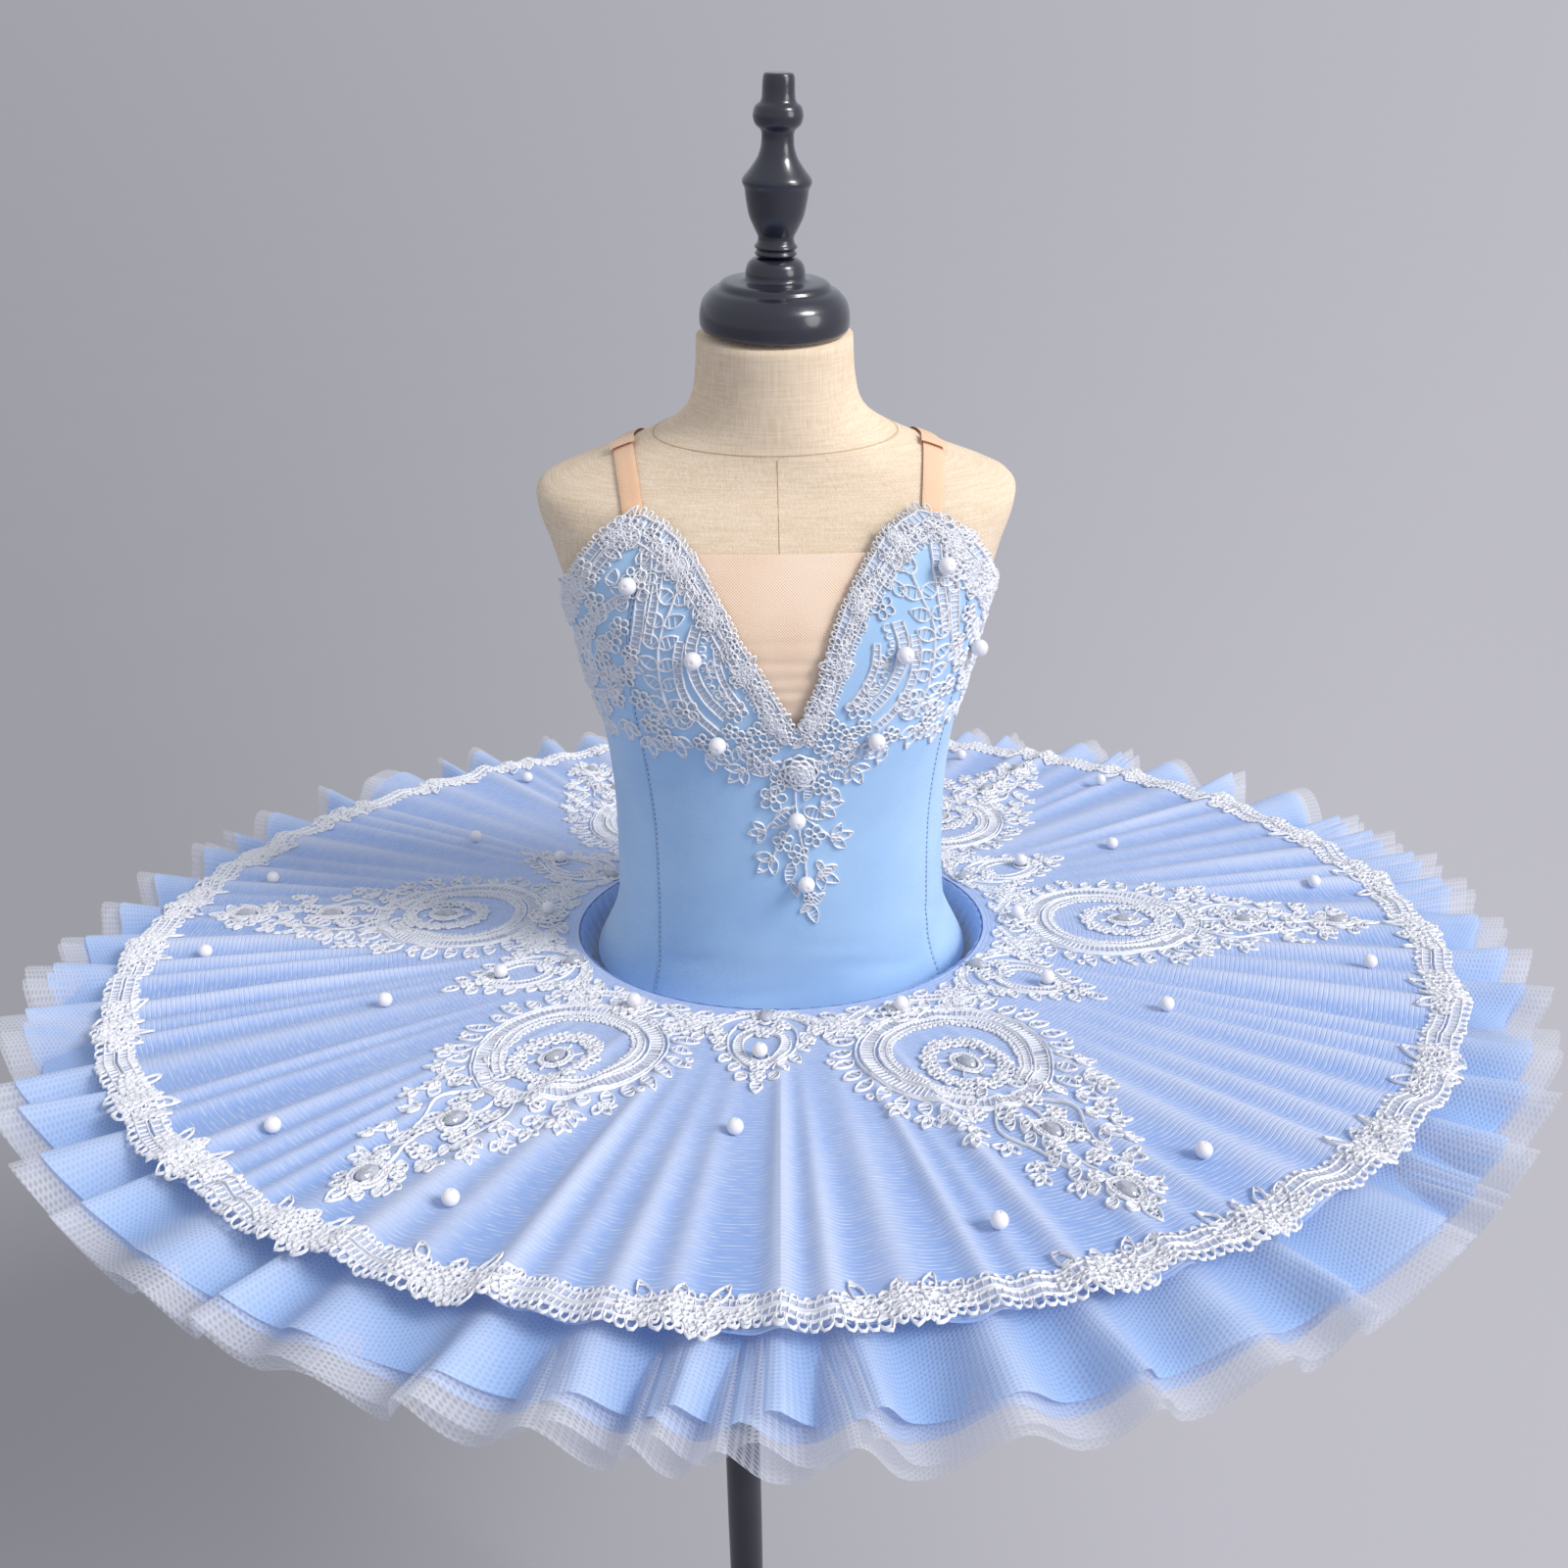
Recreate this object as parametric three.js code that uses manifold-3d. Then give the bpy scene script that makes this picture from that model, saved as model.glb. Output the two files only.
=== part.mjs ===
// A child's stage tutu on a limbless dress form and stand. Millimetres, +Z up, front faces -Y.
// The origin is on the floor, at the centre of the stand's round foot.
import * as THREE from "three";
import { mergeVertices } from "three/addons/utils/BufferGeometryUtils.js";
import Module from "manifold-3d";

const wasm = await Module();
wasm.setup();
const { Manifold, Mesh: SolidMesh } = wasm;

// ---- driving sizes -------------------------------------------------------------------------
const WAIST_HEIGHT = 900;        // floor to the centre of the skirt's inner rim
const FORM_X = 35;               // the form sits this far to one side of its pole
const SEAM_GAP = 0.3;
const SKIRT_TILT = 10.1;         // degrees: the skirt plate rises towards the front
const SKIRT_ROLL = 0.43;         // degrees: and a little towards +X
const TWIST = 7;                 // degrees: the bodice is turned on the form
const RIM_R = 130;               // inner rim of the skirt plate
const OVERLAY_R = 409;
const BRAID_R = 400;             // middle line of the edging braid
const FRILL_R = 466;             // tips of the longest net
const NET_WALL = 1.0;
const LACE_WALL = 1.2;
const PLEATS = 48;
const MOTIF_TURN = -3.4;         // degrees: the motifs' first axis, from the front towards +X
const LINER_OUT = 0.8;           // straps and modesty panel, clear of the form
const LINER_WALL = 1.0;
const BODICE_OUT = 3.0;
const BODICE_WALL = 1.4;
const TRIM_OUT = BODICE_OUT + BODICE_WALL + 1.8;
const HEM_DROP = 15;             // bodice hem below the rim at the sides, inside its opening
const HEM_TILT = 0.55;           // the hem tilts this share of the skirt's own tilt
const HEM_FLARE = 7;
const BASQUE_DEPTH = 42;         // the gathered funnel between skirt rim and hips
const YOKE_DEPTH = 74;

const rad = THREE.MathUtils.degToRad;
const point = (x, y, z) => new THREE.Vector3(x, y, z);
const mix = THREE.MathUtils.lerp;

// ---- the form: sections by height above the skirt's rim ------------------------------------
const table = (columns, rows) => rows.map((row) =>
  Object.fromEntries(row.map((value, i) => [columns[i], value])));
const FORM_SECTIONS = table(["height", "halfWidth", "front", "back", "square"], [
  [-95, 92, 66, 74, 2.2],
  [-60, 106, 78, 86, 2.2],
  [-15, 107, 84, 84, 2.2],
  [25, 99, 86, 74, 2.2],
  [65, 96.5, 85, 68, 2.2],
  [110, 96.5, 85, 67, 2.2],
  [150, 100, 87, 70, 2.3],
  [190, 109, 91, 76, 2.3],
  [230, 117, 87, 80, 2.4],
  [262, 126, 74, 76, 2.5],
  [291, 133.5, 56, 62, 2.6],
  [299, 126, 50, 55, 2.4],
  [313, 90, 44, 48, 2.2],
  [325, 62, 42, 46, 2.0],
  [335, 49, 41.5, 45, 2.0],
  [350, 43.8, 40.5, 43, 2.0],
  [374, 42, 40, 41.5, 2.0],
]);

function slopeAt(rows, i, column) {
  const before = rows[Math.max(i - 1, 0)];
  const after = rows[Math.min(i + 1, rows.length - 1)];
  return (after[column] - before[column]) / (after.height - before.height);
}

// Smooth (Hermite) reading of one column of a table by height.
function readTable(rows, height, column) {
  const last = rows.length - 1;
  if (height <= rows[0].height) return rows[0][column];
  if (height >= rows[last].height) return rows[last][column];
  const i = rows.findIndex((row) => row.height > height) - 1;
  const span = rows[i + 1].height - rows[i].height;
  const t = (height - rows[i].height) / span;
  const m0 = slopeAt(rows, i, column) * span;
  const m1 = slopeAt(rows, i + 1, column) * span;
  const t2 = t * t;
  const t3 = t2 * t;
  return (2 * t3 - 3 * t2 + 1) * rows[i][column] + (t3 - 2 * t2 + t) * m0
    + (3 * t2 - 2 * t3) * rows[i + 1][column] + (t3 - t2) * m1;
}

function formSection(height, backSide) {
  return {
    halfWidth: readTable(FORM_SECTIONS, height, "halfWidth"),
    depth: readTable(FORM_SECTIONS, height, backSide ? "back" : "front"),
    square: readTable(FORM_SECTIONS, height, "square"),
  };
}

// 1 on the form's surface, more outside it.
function formLevel(p) {
  const { halfWidth, depth, square } = formSection(p.z, p.y > 0);
  return (Math.abs(p.x) / halfWidth) ** square + (Math.abs(p.y) / depth) ** square;
}

function outward(p) {
  const step = 0.5;
  const slope = (dx, dy, dz) => formLevel(point(p.x + dx, p.y + dy, p.z + dz))
    - formLevel(point(p.x - dx, p.y - dy, p.z - dz));
  return point(slope(step, 0, 0), slope(0, step, 0), slope(0, 0, step)).normalize();
}

// A point of the form at an azimuth (0 = front, 90 = +X) and height, moved out.
function formPoint(azimuth, height, out = 0) {
  const a = rad(azimuth);
  const { halfWidth, depth, square } = formSection(height, Math.cos(a) < 0);
  const level = (Math.abs(Math.sin(a)) / halfWidth) ** square
    + (Math.abs(Math.cos(a)) / depth) ** square;
  const r = level ** (-1 / square);
  const p = point(r * Math.sin(a), -r * Math.cos(a), height);
  return out ? p.addScaledVector(outward(p), out) : p;
}

// ---- the skirt's own frame: a plate tilted about the waist centre ---------------------------
const skirtFrame = new THREE.Matrix4().makeRotationY(rad(-SKIRT_ROLL))
  .multiply(new THREE.Matrix4().makeRotationX(rad(-SKIRT_TILT)));
const plateRise = (p) => -p.y * Math.tan(rad(SKIRT_TILT));
const polar = (radius, azimuth, height) => point(
  radius * Math.sin(rad(azimuth)), -radius * Math.cos(rad(azimuth)), height);

// One wave per pleat: +1 on a ridge, -1 in a valley.
const pleatWave = (azimuth) => Math.cos(rad(azimuth * PLEATS));
const reach = (radius) => (radius - 100) / (FRILL_R - 100);
const frontShare = (azimuth) => Math.max(0, Math.cos(rad(azimuth)));

const overlayHeight = (radius, azimuth) => 1.6 * reach(radius) * pleatWave(azimuth);
const overlayPoint = (radius, azimuth, out) =>
  polar(radius, azimuth, overlayHeight(radius, azimuth) + out);

// ---- making walls ----------------------------------------------------------------------------
function toGeometry(vertices, faces) {
  const geometry = new THREE.BufferGeometry();
  const flat = new Float32Array(vertices.flatMap((v) => [v.x, v.y, v.z]));
  geometry.setAttribute("position", new THREE.BufferAttribute(flat, 3));
  geometry.setIndex(faces.flat());
  return geometry;
}

// A closed wall between two faces given as functions of (u, v) in 0..1. `around` closes it in u.
function wall(columns, rows, outerAt, innerAt, around = false) {
  const across = around ? columns : columns + 1;
  const vertices = [];
  for (const surface of [outerAt, innerAt]) {
    for (let j = 0; j <= rows; j += 1) {
      for (let i = 0; i < across; i += 1) vertices.push(surface(i / columns, j / rows));
    }
  }
  const layer = across * (rows + 1);
  const at = (side, i, j) => side * layer + j * across + (i % across);
  const faces = [];
  const quad = (a, b, c, d) => faces.push([a, b, c], [a, c, d]);
  for (let j = 0; j < rows; j += 1) {
    for (let i = 0; i < columns; i += 1) {
      quad(at(0, i, j), at(0, i + 1, j), at(0, i + 1, j + 1), at(0, i, j + 1));
      quad(at(1, i, j), at(1, i, j + 1), at(1, i + 1, j + 1), at(1, i + 1, j));
    }
  }
  for (let i = 0; i < columns; i += 1) {
    quad(at(0, i, 0), at(1, i, 0), at(1, i + 1, 0), at(0, i + 1, 0));
    quad(at(0, i, rows), at(0, i + 1, rows), at(1, i + 1, rows), at(1, i, rows));
  }
  for (let j = 0; j < rows && !around; j += 1) {
    quad(at(0, 0, j), at(0, 0, j + 1), at(1, 0, j + 1), at(1, 0, j));
    quad(at(0, columns, j), at(1, columns, j), at(1, columns, j + 1), at(0, columns, j + 1));
  }
  return facingOut(toGeometry(vertices, faces));
}

function signedVolume(geometry) {
  const p = geometry.attributes.position;
  const index = geometry.index.array;
  const [a, b, c] = [point(0, 0, 0), point(0, 0, 0), point(0, 0, 0)];
  let sum = 0;
  for (let i = 0; i < index.length; i += 3) {
    a.fromBufferAttribute(p, index[i]);
    b.fromBufferAttribute(p, index[i + 1]);
    c.fromBufferAttribute(p, index[i + 2]);
    sum += a.dot(b.cross(c));
  }
  return sum / 6;
}

function facingOut(geometry) {
  if (signedVolume(geometry) < 0) geometry.index.array.reverse();
  return geometry;
}

const toSolid = (geometry) => new Manifold(new SolidMesh({
  numProp: 3,
  vertProperties: geometry.attributes.position.array,
  triVerts: new Uint32Array(geometry.index.array),
}));

function fromSolid(solid) {
  const mesh = solid.getMesh();
  const vertices = [];
  for (let i = 0; i < mesh.vertProperties.length; i += mesh.numProp) {
    vertices.push(point(...mesh.vertProperties.slice(i, i + 3)));
  }
  const geometry = toGeometry(vertices, []);
  geometry.setIndex(Array.from(mesh.triVerts));
  return geometry;
}

// A turned body from its outline, listed as [radius, height] from the axis round to the axis.
function turned(outline, sides) {
  const lathe = new THREE.LatheGeometry(outline.map(([r, h]) => new THREE.Vector2(r, h)), sides);
  return lathe.rotateX(Math.PI / 2);
}

// ---- assembling --------------------------------------------------------------------------------
const COLOURS = {
  black: 0x1c1c28,
  linen: 0xe1c8aa,
  bodice: 0x8fbbe6,
  mesh: 0xf0d2be,
  strap: 0xebbe9b,
  basque: 0x5f82c4,
  overlay: 0x9dbdf0,
  blueNet: 0x88bbf0,
  whiteNet: 0xd8dbe4,
  lace: 0xe8e9f0,
};
const part = new THREE.Group();

function add(name, colour, geometry, frame = null) {
  if (frame) geometry.applyMatrix4(frame);
  const material = new THREE.MeshStandardMaterial({ color: COLOURS[colour] });
  material.side = THREE.FrontSide;
  const mesh = new THREE.Mesh(geometry, material);
  mesh.name = name;
  part.add(mesh);
}
const onForm = new THREE.Matrix4().makeTranslation(FORM_X, 0, WAIST_HEIGHT);
const onSkirt = onForm.clone().multiply(skirtFrame);

// ---- stand ---------------------------------------------------------------------------------------
const POLE_R = 13.8;
const FOOT_R = 140;
const FOOT_BOSS_TOP = 34;
const FORM_BOTTOM = FORM_SECTIONS[0].height;
const COLLAR_DEPTH = 10;
const collarTop = WAIST_HEIGHT + FORM_BOTTOM - SEAM_GAP;
const poleTop = collarTop - COLLAR_DEPTH - SEAM_GAP;
add("stand_foot", "black", turned([
  [0, 0], [FOOT_R, 0], [FOOT_R, 8], [FOOT_R - 4, 13], [60, 19], [26, 24], [22, FOOT_BOSS_TOP],
  [0, FOOT_BOSS_TOP],
], 36));
add("stand_pole", "black", turned([
  [0, FOOT_BOSS_TOP + SEAM_GAP], [POLE_R, FOOT_BOSS_TOP + SEAM_GAP], [POLE_R, poleTop],
  [0, poleTop],
], 24));
add("form_collar", "black", turned([
  [0, collarTop - COLLAR_DEPTH], [24, collarTop - COLLAR_DEPTH], [30, collarTop - 4],
  [30, collarTop], [0, collarTop],
], 32));

// ---- form ----------------------------------------------------------------------------------------
function formBody() {
  const sides = 44;
  const chestFrom = 190;
  const heights = [];
  FORM_SECTIONS.forEach((row, i) => {
    const before = FORM_SECTIONS[i - 1];
    if (i && row.height > chestFrom) heights.push((row.height + before.height) / 2);
    heights.push(row.height);
  });
  const vertices = heights.flatMap((height) =>
    Array.from({ length: sides }, (_, i) => formPoint((360 * i) / sides, height)));
  const top = heights.length - 1;
  const faces = [];
  for (let j = 0; j < top; j += 1) {
    for (let i = 0; i < sides; i += 1) {
      const [a, b] = [j * sides + i, j * sides + ((i + 1) % sides)];
      faces.push([a, b, b + sides], [a, b + sides, a + sides]);
    }
  }
  const low = vertices.push(point(0, 0, heights[0])) - 1;
  const high = vertices.push(point(0, 0, heights[top])) - 1;
  for (let i = 0; i < sides; i += 1) {
    const next = (i + 1) % sides;
    faces.push([low, next, i], [high, top * sides + i, top * sides + next]);
  }
  return facingOut(toGeometry(vertices, faces));
}
add("form_torso", "linen", formBody(), onForm);

const CAP_BASE = 375.6;          // just above the top of the neck
const FINIAL_LEAN = 1.65;        // degrees, towards +X
const CAP_OUTLINE = [
  [0, 0], [38, 0], [40, 3], [40.2, 9], [38.6, 16], [34, 21], [30, 22.6], [29, 24.6],
  [27, 26], [15.8, 26.6], [15.8, 31], [14.6, 35], [11, 38], [0, 38],
];
const FINIAL_OUTLINE = [
  [0, 0], [9.6, 0], [11.4, 1.6], [9.8, 3.2], [11.6, 5], [9.8, 6.8], [9.2, 9.6], [11.5, 14],
  [14.4, 20], [16.1, 28.6], [16.6, 33.6], [18, 36], [18, 38.4], [14, 43], [10.2, 48.4],
  [8.4, 54], [8.1, 61], [12, 64], [13, 68.2], [12, 72.6], [8.4, 75], [8.1, 86.4], [7, 88],
  [0, 88],
];
const leaning = new THREE.Matrix4().makeTranslation(FORM_X, 0, WAIST_HEIGHT + CAP_BASE)
  .multiply(new THREE.Matrix4().makeRotationY(rad(FINIAL_LEAN)));
add("neck_cap", "black", turned(CAP_OUTLINE, 28), leaning);
const finialFoot = 38 + SEAM_GAP;
add("finial", "black", turned(FINIAL_OUTLINE.map(([r, h]) => [r, h + finialFoot]), 20), leaning);

// ---- bodice --------------------------------------------------------------------------------------
// Upper edge of the bodice. The V is lowest at azimuth 6, and the cusps stand at -54 and 57.
const V_AZIMUTH = 6;
const TOP_EDGE = table(["azimuth", "level"], [
  [-180, 205], [-150, 205], [-120, 211], [-100, 219], [-84, 228], [-72, 242], [-65, 262],
  [-59, 285], [-54, 291], [-47, 286], [-40, 280], [-33, 271], [-27, 261], [-20, 248],
  [-14, 234], [-7, 218], [-1, 202], [4, 187], [6, 183], [8, 187], [14, 210], [20, 236],
  [24, 248], [30, 260], [36, 270], [43, 280], [50, 287], [57, 292], [63, 280], [71, 254],
  [86, 231], [102, 220], [122, 211], [152, 205], [180, 205],
]);

function topEdge(azimuth) {
  const i = Math.min(TOP_EDGE.findIndex((row) => row.azimuth >= azimuth), TOP_EDGE.length - 1);
  if (i <= 0) return TOP_EDGE[0].level;
  const [a, b] = [TOP_EDGE[i - 1], TOP_EDGE[i]];
  return mix(a.level, b.level, (azimuth - a.azimuth) / (b.azimuth - a.azimuth));
}

const hemHeight = (azimuth) =>
  HEM_TILT * plateRise(formPoint(azimuth, -HEM_DROP)) - HEM_DROP;

function bodicePoint(azimuth, height, out) {
  const above = (height - hemHeight(azimuth)) / 34;
  const flare = HEM_FLARE * Math.max(0, 1 - above) ** 2;
  return formPoint(azimuth, height, out + flare);
}

// A panel of the bodice between two azimuths, from one edge function to another. Its rows come
// closer together towards the bust, where the form bends most.
const ROW_CROWDING = 1.5;
function bodicePanel(from, to, columns, rows, lower, upper, out, thickness) {
  const azimuth = (u) => mix(from, to, u);
  const share = (v) => 1 - (1 - v) ** ROW_CROWDING;
  const height = (u, v) => mix(lower(azimuth(u)), upper(azimuth(u)), share(v));
  return wall(columns, rows,
    (u, v) => bodicePoint(azimuth(u), height(u, v), out + thickness),
    (u, v) => bodicePoint(azimuth(u), height(u, v), out));
}

const SEAM_TURN = 0.1;           // degrees: half of a 0.3 mm seam gap
const PRINCESS = 55;
const SIDE_SEAM = 97;
const PANELS = [
  { name: "bodice_front_centre", from: -PRINCESS, to: PRINCESS, columns: 28, rows: 12 },
  { name: "bodice_side_front_left", from: -SIDE_SEAM, to: -PRINCESS, columns: 8, rows: 14 },
  { name: "bodice_side_front_right", from: PRINCESS, to: SIDE_SEAM, columns: 8, rows: 14 },
  { name: "bodice_back_left", from: -180, to: -SIDE_SEAM, columns: 9, rows: 9 },
  { name: "bodice_back_right", from: SIDE_SEAM, to: 180, columns: 9, rows: 9 },
];
const wrapped = (azimuth) => ((azimuth + 540) % 360) - 180;
const wrappedTop = (azimuth) => topEdge(wrapped(azimuth));
const wrappedHem = (azimuth) => hemHeight(wrapped(azimuth));
for (const { name, from, to, columns, rows } of PANELS) {
  add(name, "bodice", bodicePanel(from + TWIST + SEAM_TURN, to + TWIST - SEAM_TURN, columns, rows,
    wrappedHem, wrappedTop, BODICE_OUT, BODICE_WALL), onForm);
}

// Stretch net that fills the V, under the bodice.
const MESH_HALF_TURN = 48;
const MESH_LOW = 168;
const MESH_TOP = 274;
add("modesty_panel", "mesh", wall(16, 10,
  (u, v) => formPoint(V_AZIMUTH + mix(-MESH_HALF_TURN, MESH_HALF_TURN, u) * mix(0.55, 1, v),
    mix(MESH_LOW, MESH_TOP, v), LINER_OUT + LINER_WALL),
  (u, v) => formPoint(V_AZIMUTH + mix(-MESH_HALF_TURN, MESH_HALF_TURN, u) * mix(0.55, 1, v),
    mix(MESH_LOW, MESH_TOP, v), LINER_OUT)), onForm);

// ---- straps: over the shoulder at a nearly steady distance from the middle --------------------
const STRAP_WIDTH = 11;
const STRAP_FRONT_END = 280;
const STRAP_BACK_END = 190;
const SHOULDER_LEVELS = [291, 299, 313, 325];

function shoulderTop(x) {
  let [low, high] = [SHOULDER_LEVELS[0], SHOULDER_LEVELS[3]];
  for (let i = 0; i < 40; i += 1) {
    const middle = (low + high) / 2;
    if (formSection(middle, false).halfWidth > Math.abs(x)) low = middle;
    else high = middle;
  }
  return low;
}

function strapPoint(side, along, across, out) {
  const onBack = along > 0.5;
  const rise = onBack ? (1 - along) * 2 : along * 2;
  const end = onBack ? { x: 62, z: STRAP_BACK_END } : { x: side < 0 ? 74 : 82, z: STRAP_FRONT_END };
  const x = side * mix(end.x, side < 0 ? 84 : 86, rise) + across;
  const top = shoulderTop(x);
  const z = mix(end.z, top - 0.01, Math.sin((rise * Math.PI) / 2));
  const { halfWidth, depth, square } = formSection(z, onBack);
  const inside = Math.max(0, 1 - (Math.abs(x) / halfWidth) ** square);
  const y = depth * inside ** (1 / square);
  const p = point(x, onBack ? y : -y, z);
  return p.addScaledVector(outward(p), out);
}

function strapPiece(side, from, to, width, out, thickness, steps) {
  const at = (u, v, d) => strapPoint(side, mix(from, to, v), (u - 0.5) * width, d);
  return wall(2, steps, (u, v) => at(u, v, out + thickness), (u, v) => at(u, v, out));
}

for (const [label, side] of [["left", -1], ["right", 1]]) {
  add(`strap_${label}`, "strap",
    strapPiece(side, 0, 1, STRAP_WIDTH, LINER_OUT, LINER_WALL, 28), onForm);
  add(`strap_fold_${label}`, "strap", strapPiece(side, 0.4, 0.5, STRAP_WIDTH + 3,
    LINER_OUT + LINER_WALL + 0.4, 1.2, 3), onForm);
}

// ---- lace on the bodice ------------------------------------------------------------------------
// Depth of the neckline braid below the edge, deeper where the edge is steep.
const BRAID_DEPTH = 14;
const STEEP_DEPTH = 11;
function braidDepth(azimuth) {
  const fromSteep = (Math.abs(azimuth - V_AZIMUTH) - 14) / 14;
  return BRAID_DEPTH + STEEP_DEPTH * Math.exp(-(fromSteep ** 2));
}
const braidLower = (azimuth) => topEdge(azimuth) - braidDepth(azimuth);
const cupLower = (azimuth) => 168 - 0.22 * Math.abs(azimuth - V_AZIMUTH);
const SIDES = [
  { label: "left", from: -96, to: V_AZIMUTH - 0.2, cupFrom: -95, cupTo: V_AZIMUTH - 9 },
  { label: "right", from: V_AZIMUTH + 0.2, to: 100, cupFrom: V_AZIMUTH + 6, cupTo: 99 },
];
for (const { label, from, to, cupFrom, cupTo } of SIDES) {
  add(`neckline_braid_${label}`, "lace", bodicePanel(from, to, 34, 2,
    braidLower, (a) => topEdge(a) + 2, TRIM_OUT, LACE_WALL), onForm);
  const cupUpper = (a) => Math.max(cupLower(a) + 2, braidLower(a) - 4);
  add(`cup_lace_${label}`, "lace", bodicePanel(cupFrom, cupTo, 24, 6, cupLower, cupUpper,
    TRIM_OUT, LACE_WALL), onForm);
}

const PENDANT = table(["height", "halfTurn"], [
  [44, 1.5], [60, 6], [80, 9], [100, 13], [118, 12], [135, 12], [150, 17], [160, 18],
]);
const PENDANT_TOP = 160;
const pendantAt = (u, v, out) => {
  const height = mix(PENDANT[0].height, PENDANT_TOP, v);
  const half = readTable(PENDANT, height, "halfTurn");
  return formPoint(V_AZIMUTH + 2 + mix(-half, half, u), height, out);
};
add("bodice_pendant", "lace", wall(4, 8, (u, v) => pendantAt(u, v, TRIM_OUT + LACE_WALL),
  (u, v) => pendantAt(u, v, TRIM_OUT)), onForm);

// ---- basque: the gathered funnel and the hip yoke the nets are sewn to ------------------------
function basquePoint(azimuth, depth, out) {
  const rim = polar(RIM_R - 0.8, azimuth, 0);
  if (depth <= BASQUE_DEPTH) {
    const share = (depth / BASQUE_DEPTH) ** 1.4;
    const hip = hipPoint(azimuth, BASQUE_DEPTH, 0);
    const p = rim.lerp(hip, share);
    p.z = -depth;
    const flat = Math.hypot(p.x, p.y);
    return point(p.x * (1 + out / flat), p.y * (1 + out / flat), p.z);
  }
  return hipPoint(azimuth, depth, out);
}

// The form's hips, found in the skirt's tilted frame.
function hipPoint(azimuth, depth, out) {
  const toPlate = skirtFrame.clone().invert();
  let height = -depth;
  let p = point(0, 0, 0);
  for (let i = 0; i < 12; i += 1) {
    p = formPoint(azimuth, height, 5 + out).applyMatrix4(toPlate);
    height += -depth - p.z;
  }
  return p;
}
const BASQUE_LEVELS = [0, 14, 28, BASQUE_DEPTH, 58, YOKE_DEPTH];
const basqueDepth = (v) => BASQUE_LEVELS[Math.round(v * (BASQUE_LEVELS.length - 1))];
const BASQUE_WALL = 1.4;
add("basque", "basque", wall(48, BASQUE_LEVELS.length - 1,
  (u, v) => basquePoint(360 * u, basqueDepth(v), 0),
  (u, v) => basquePoint(360 * u, basqueDepth(v), -BASQUE_WALL), true), onSkirt);

// ---- skirt: top net, then four pleated nets under it -------------------------------------------
const SEGMENTS = 2 * PLEATS;
add("skirt_top_net", "overlay", wall(SEGMENTS, 2,
  (u, v) => overlayPoint(mix(RIM_R, OVERLAY_R, v), 360 * u, NET_WALL / 2),
  (u, v) => overlayPoint(mix(RIM_R, OVERLAY_R, v), 360 * u, -NET_WALL / 2), true), onSkirt);

const NETS = [
  { name: "skirt_net_blue_upper", colour: "blueNet", radius: 432, inner: 4, drop: 10 },
  { name: "skirt_net_white_upper", colour: "whiteNet", radius: FRILL_R, inner: 9, drop: 17 },
  { name: "skirt_net_blue_lower", colour: "blueNet", radius: 440, inner: 14, drop: 24 },
  { name: "skirt_net_white_lower", colour: "whiteNet", radius: 460, inner: 19, drop: 31 },
];
const PLEAT_HEIGHT = 6.5;
const FRONT_DROOP = 14;
for (const { name, colour, radius, inner, drop } of NETS) {
  const netPoint = (u, v, out) => {
    const azimuth = 360 * u;
    const start = basquePoint(azimuth, inner, SEAM_GAP + 0.3);
    const r = mix(Math.hypot(start.x, start.y), radius, v);
    const fall = mix(inner, drop, Math.max(0, (r - RIM_R) / (FRILL_R - RIM_R)));
    const height = PLEAT_HEIGHT * reach(r) * pleatWave(azimuth)
      - FRONT_DROOP * reach(r) * frontShare(azimuth) ** 2 * v - fall;
    return polar(r, azimuth, height + out);
  };
  add(name, colour, wall(SEGMENTS, 1, (u, v) => netPoint(u, v, NET_WALL / 2),
    (u, v) => netPoint(u, v, -NET_WALL / 2), true), onSkirt);
}

// ---- lace laid on the top net --------------------------------------------------------------------
// The top net's own surface, moved out: every skirt lace is cut from this sheet.
const LACE_LIFT = NET_WALL / 2 + SEAM_GAP;
const laceSheet = toSolid(wall(SEGMENTS, 2,
  (u, v) => overlayPoint(mix(RIM_R + 2, OVERLAY_R + 6, v), 360 * u, LACE_LIFT + LACE_WALL),
  (u, v) => overlayPoint(mix(RIM_R + 2, OVERLAY_R + 6, v), 360 * u, LACE_LIFT), true));

const CUTTER_DEPTH = 20;
function cutLace(outline, hole = null) {
  const shape = new THREE.Shape(outline);
  if (hole) shape.holes.push(new THREE.Path(hole));
  const cutter = new THREE.ExtrudeGeometry(shape, { depth: CUTTER_DEPTH, bevelEnabled: false });
  cutter.deleteAttribute("normal").deleteAttribute("uv");
  cutter.translate(0, 0, -CUTTER_DEPTH / 2);
  return fromSolid(laceSheet.intersect(toSolid(mergeVertices(cutter, 1e-3))));
}

const BRAID_HALF = 10;
const SCALLOPS = 24;
const SCALLOP_POINTS = 4;
function braidRing(direction) {
  const count = SCALLOPS * SCALLOP_POINTS;
  return Array.from({ length: count }, (_, i) => {
    const azimuth = (360 * i) / count;
    const bump = Math.cos(rad(azimuth * SCALLOPS)) * (direction > 0 ? 1.5 : 3);
    const p = polar(BRAID_R + direction * (BRAID_HALF + bump), azimuth, 0);
    return new THREE.Vector2(p.x, p.y);
  });
}
add("skirt_edging", "lace", cutLace(braidRing(1), braidRing(-1)), onSkirt);

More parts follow.
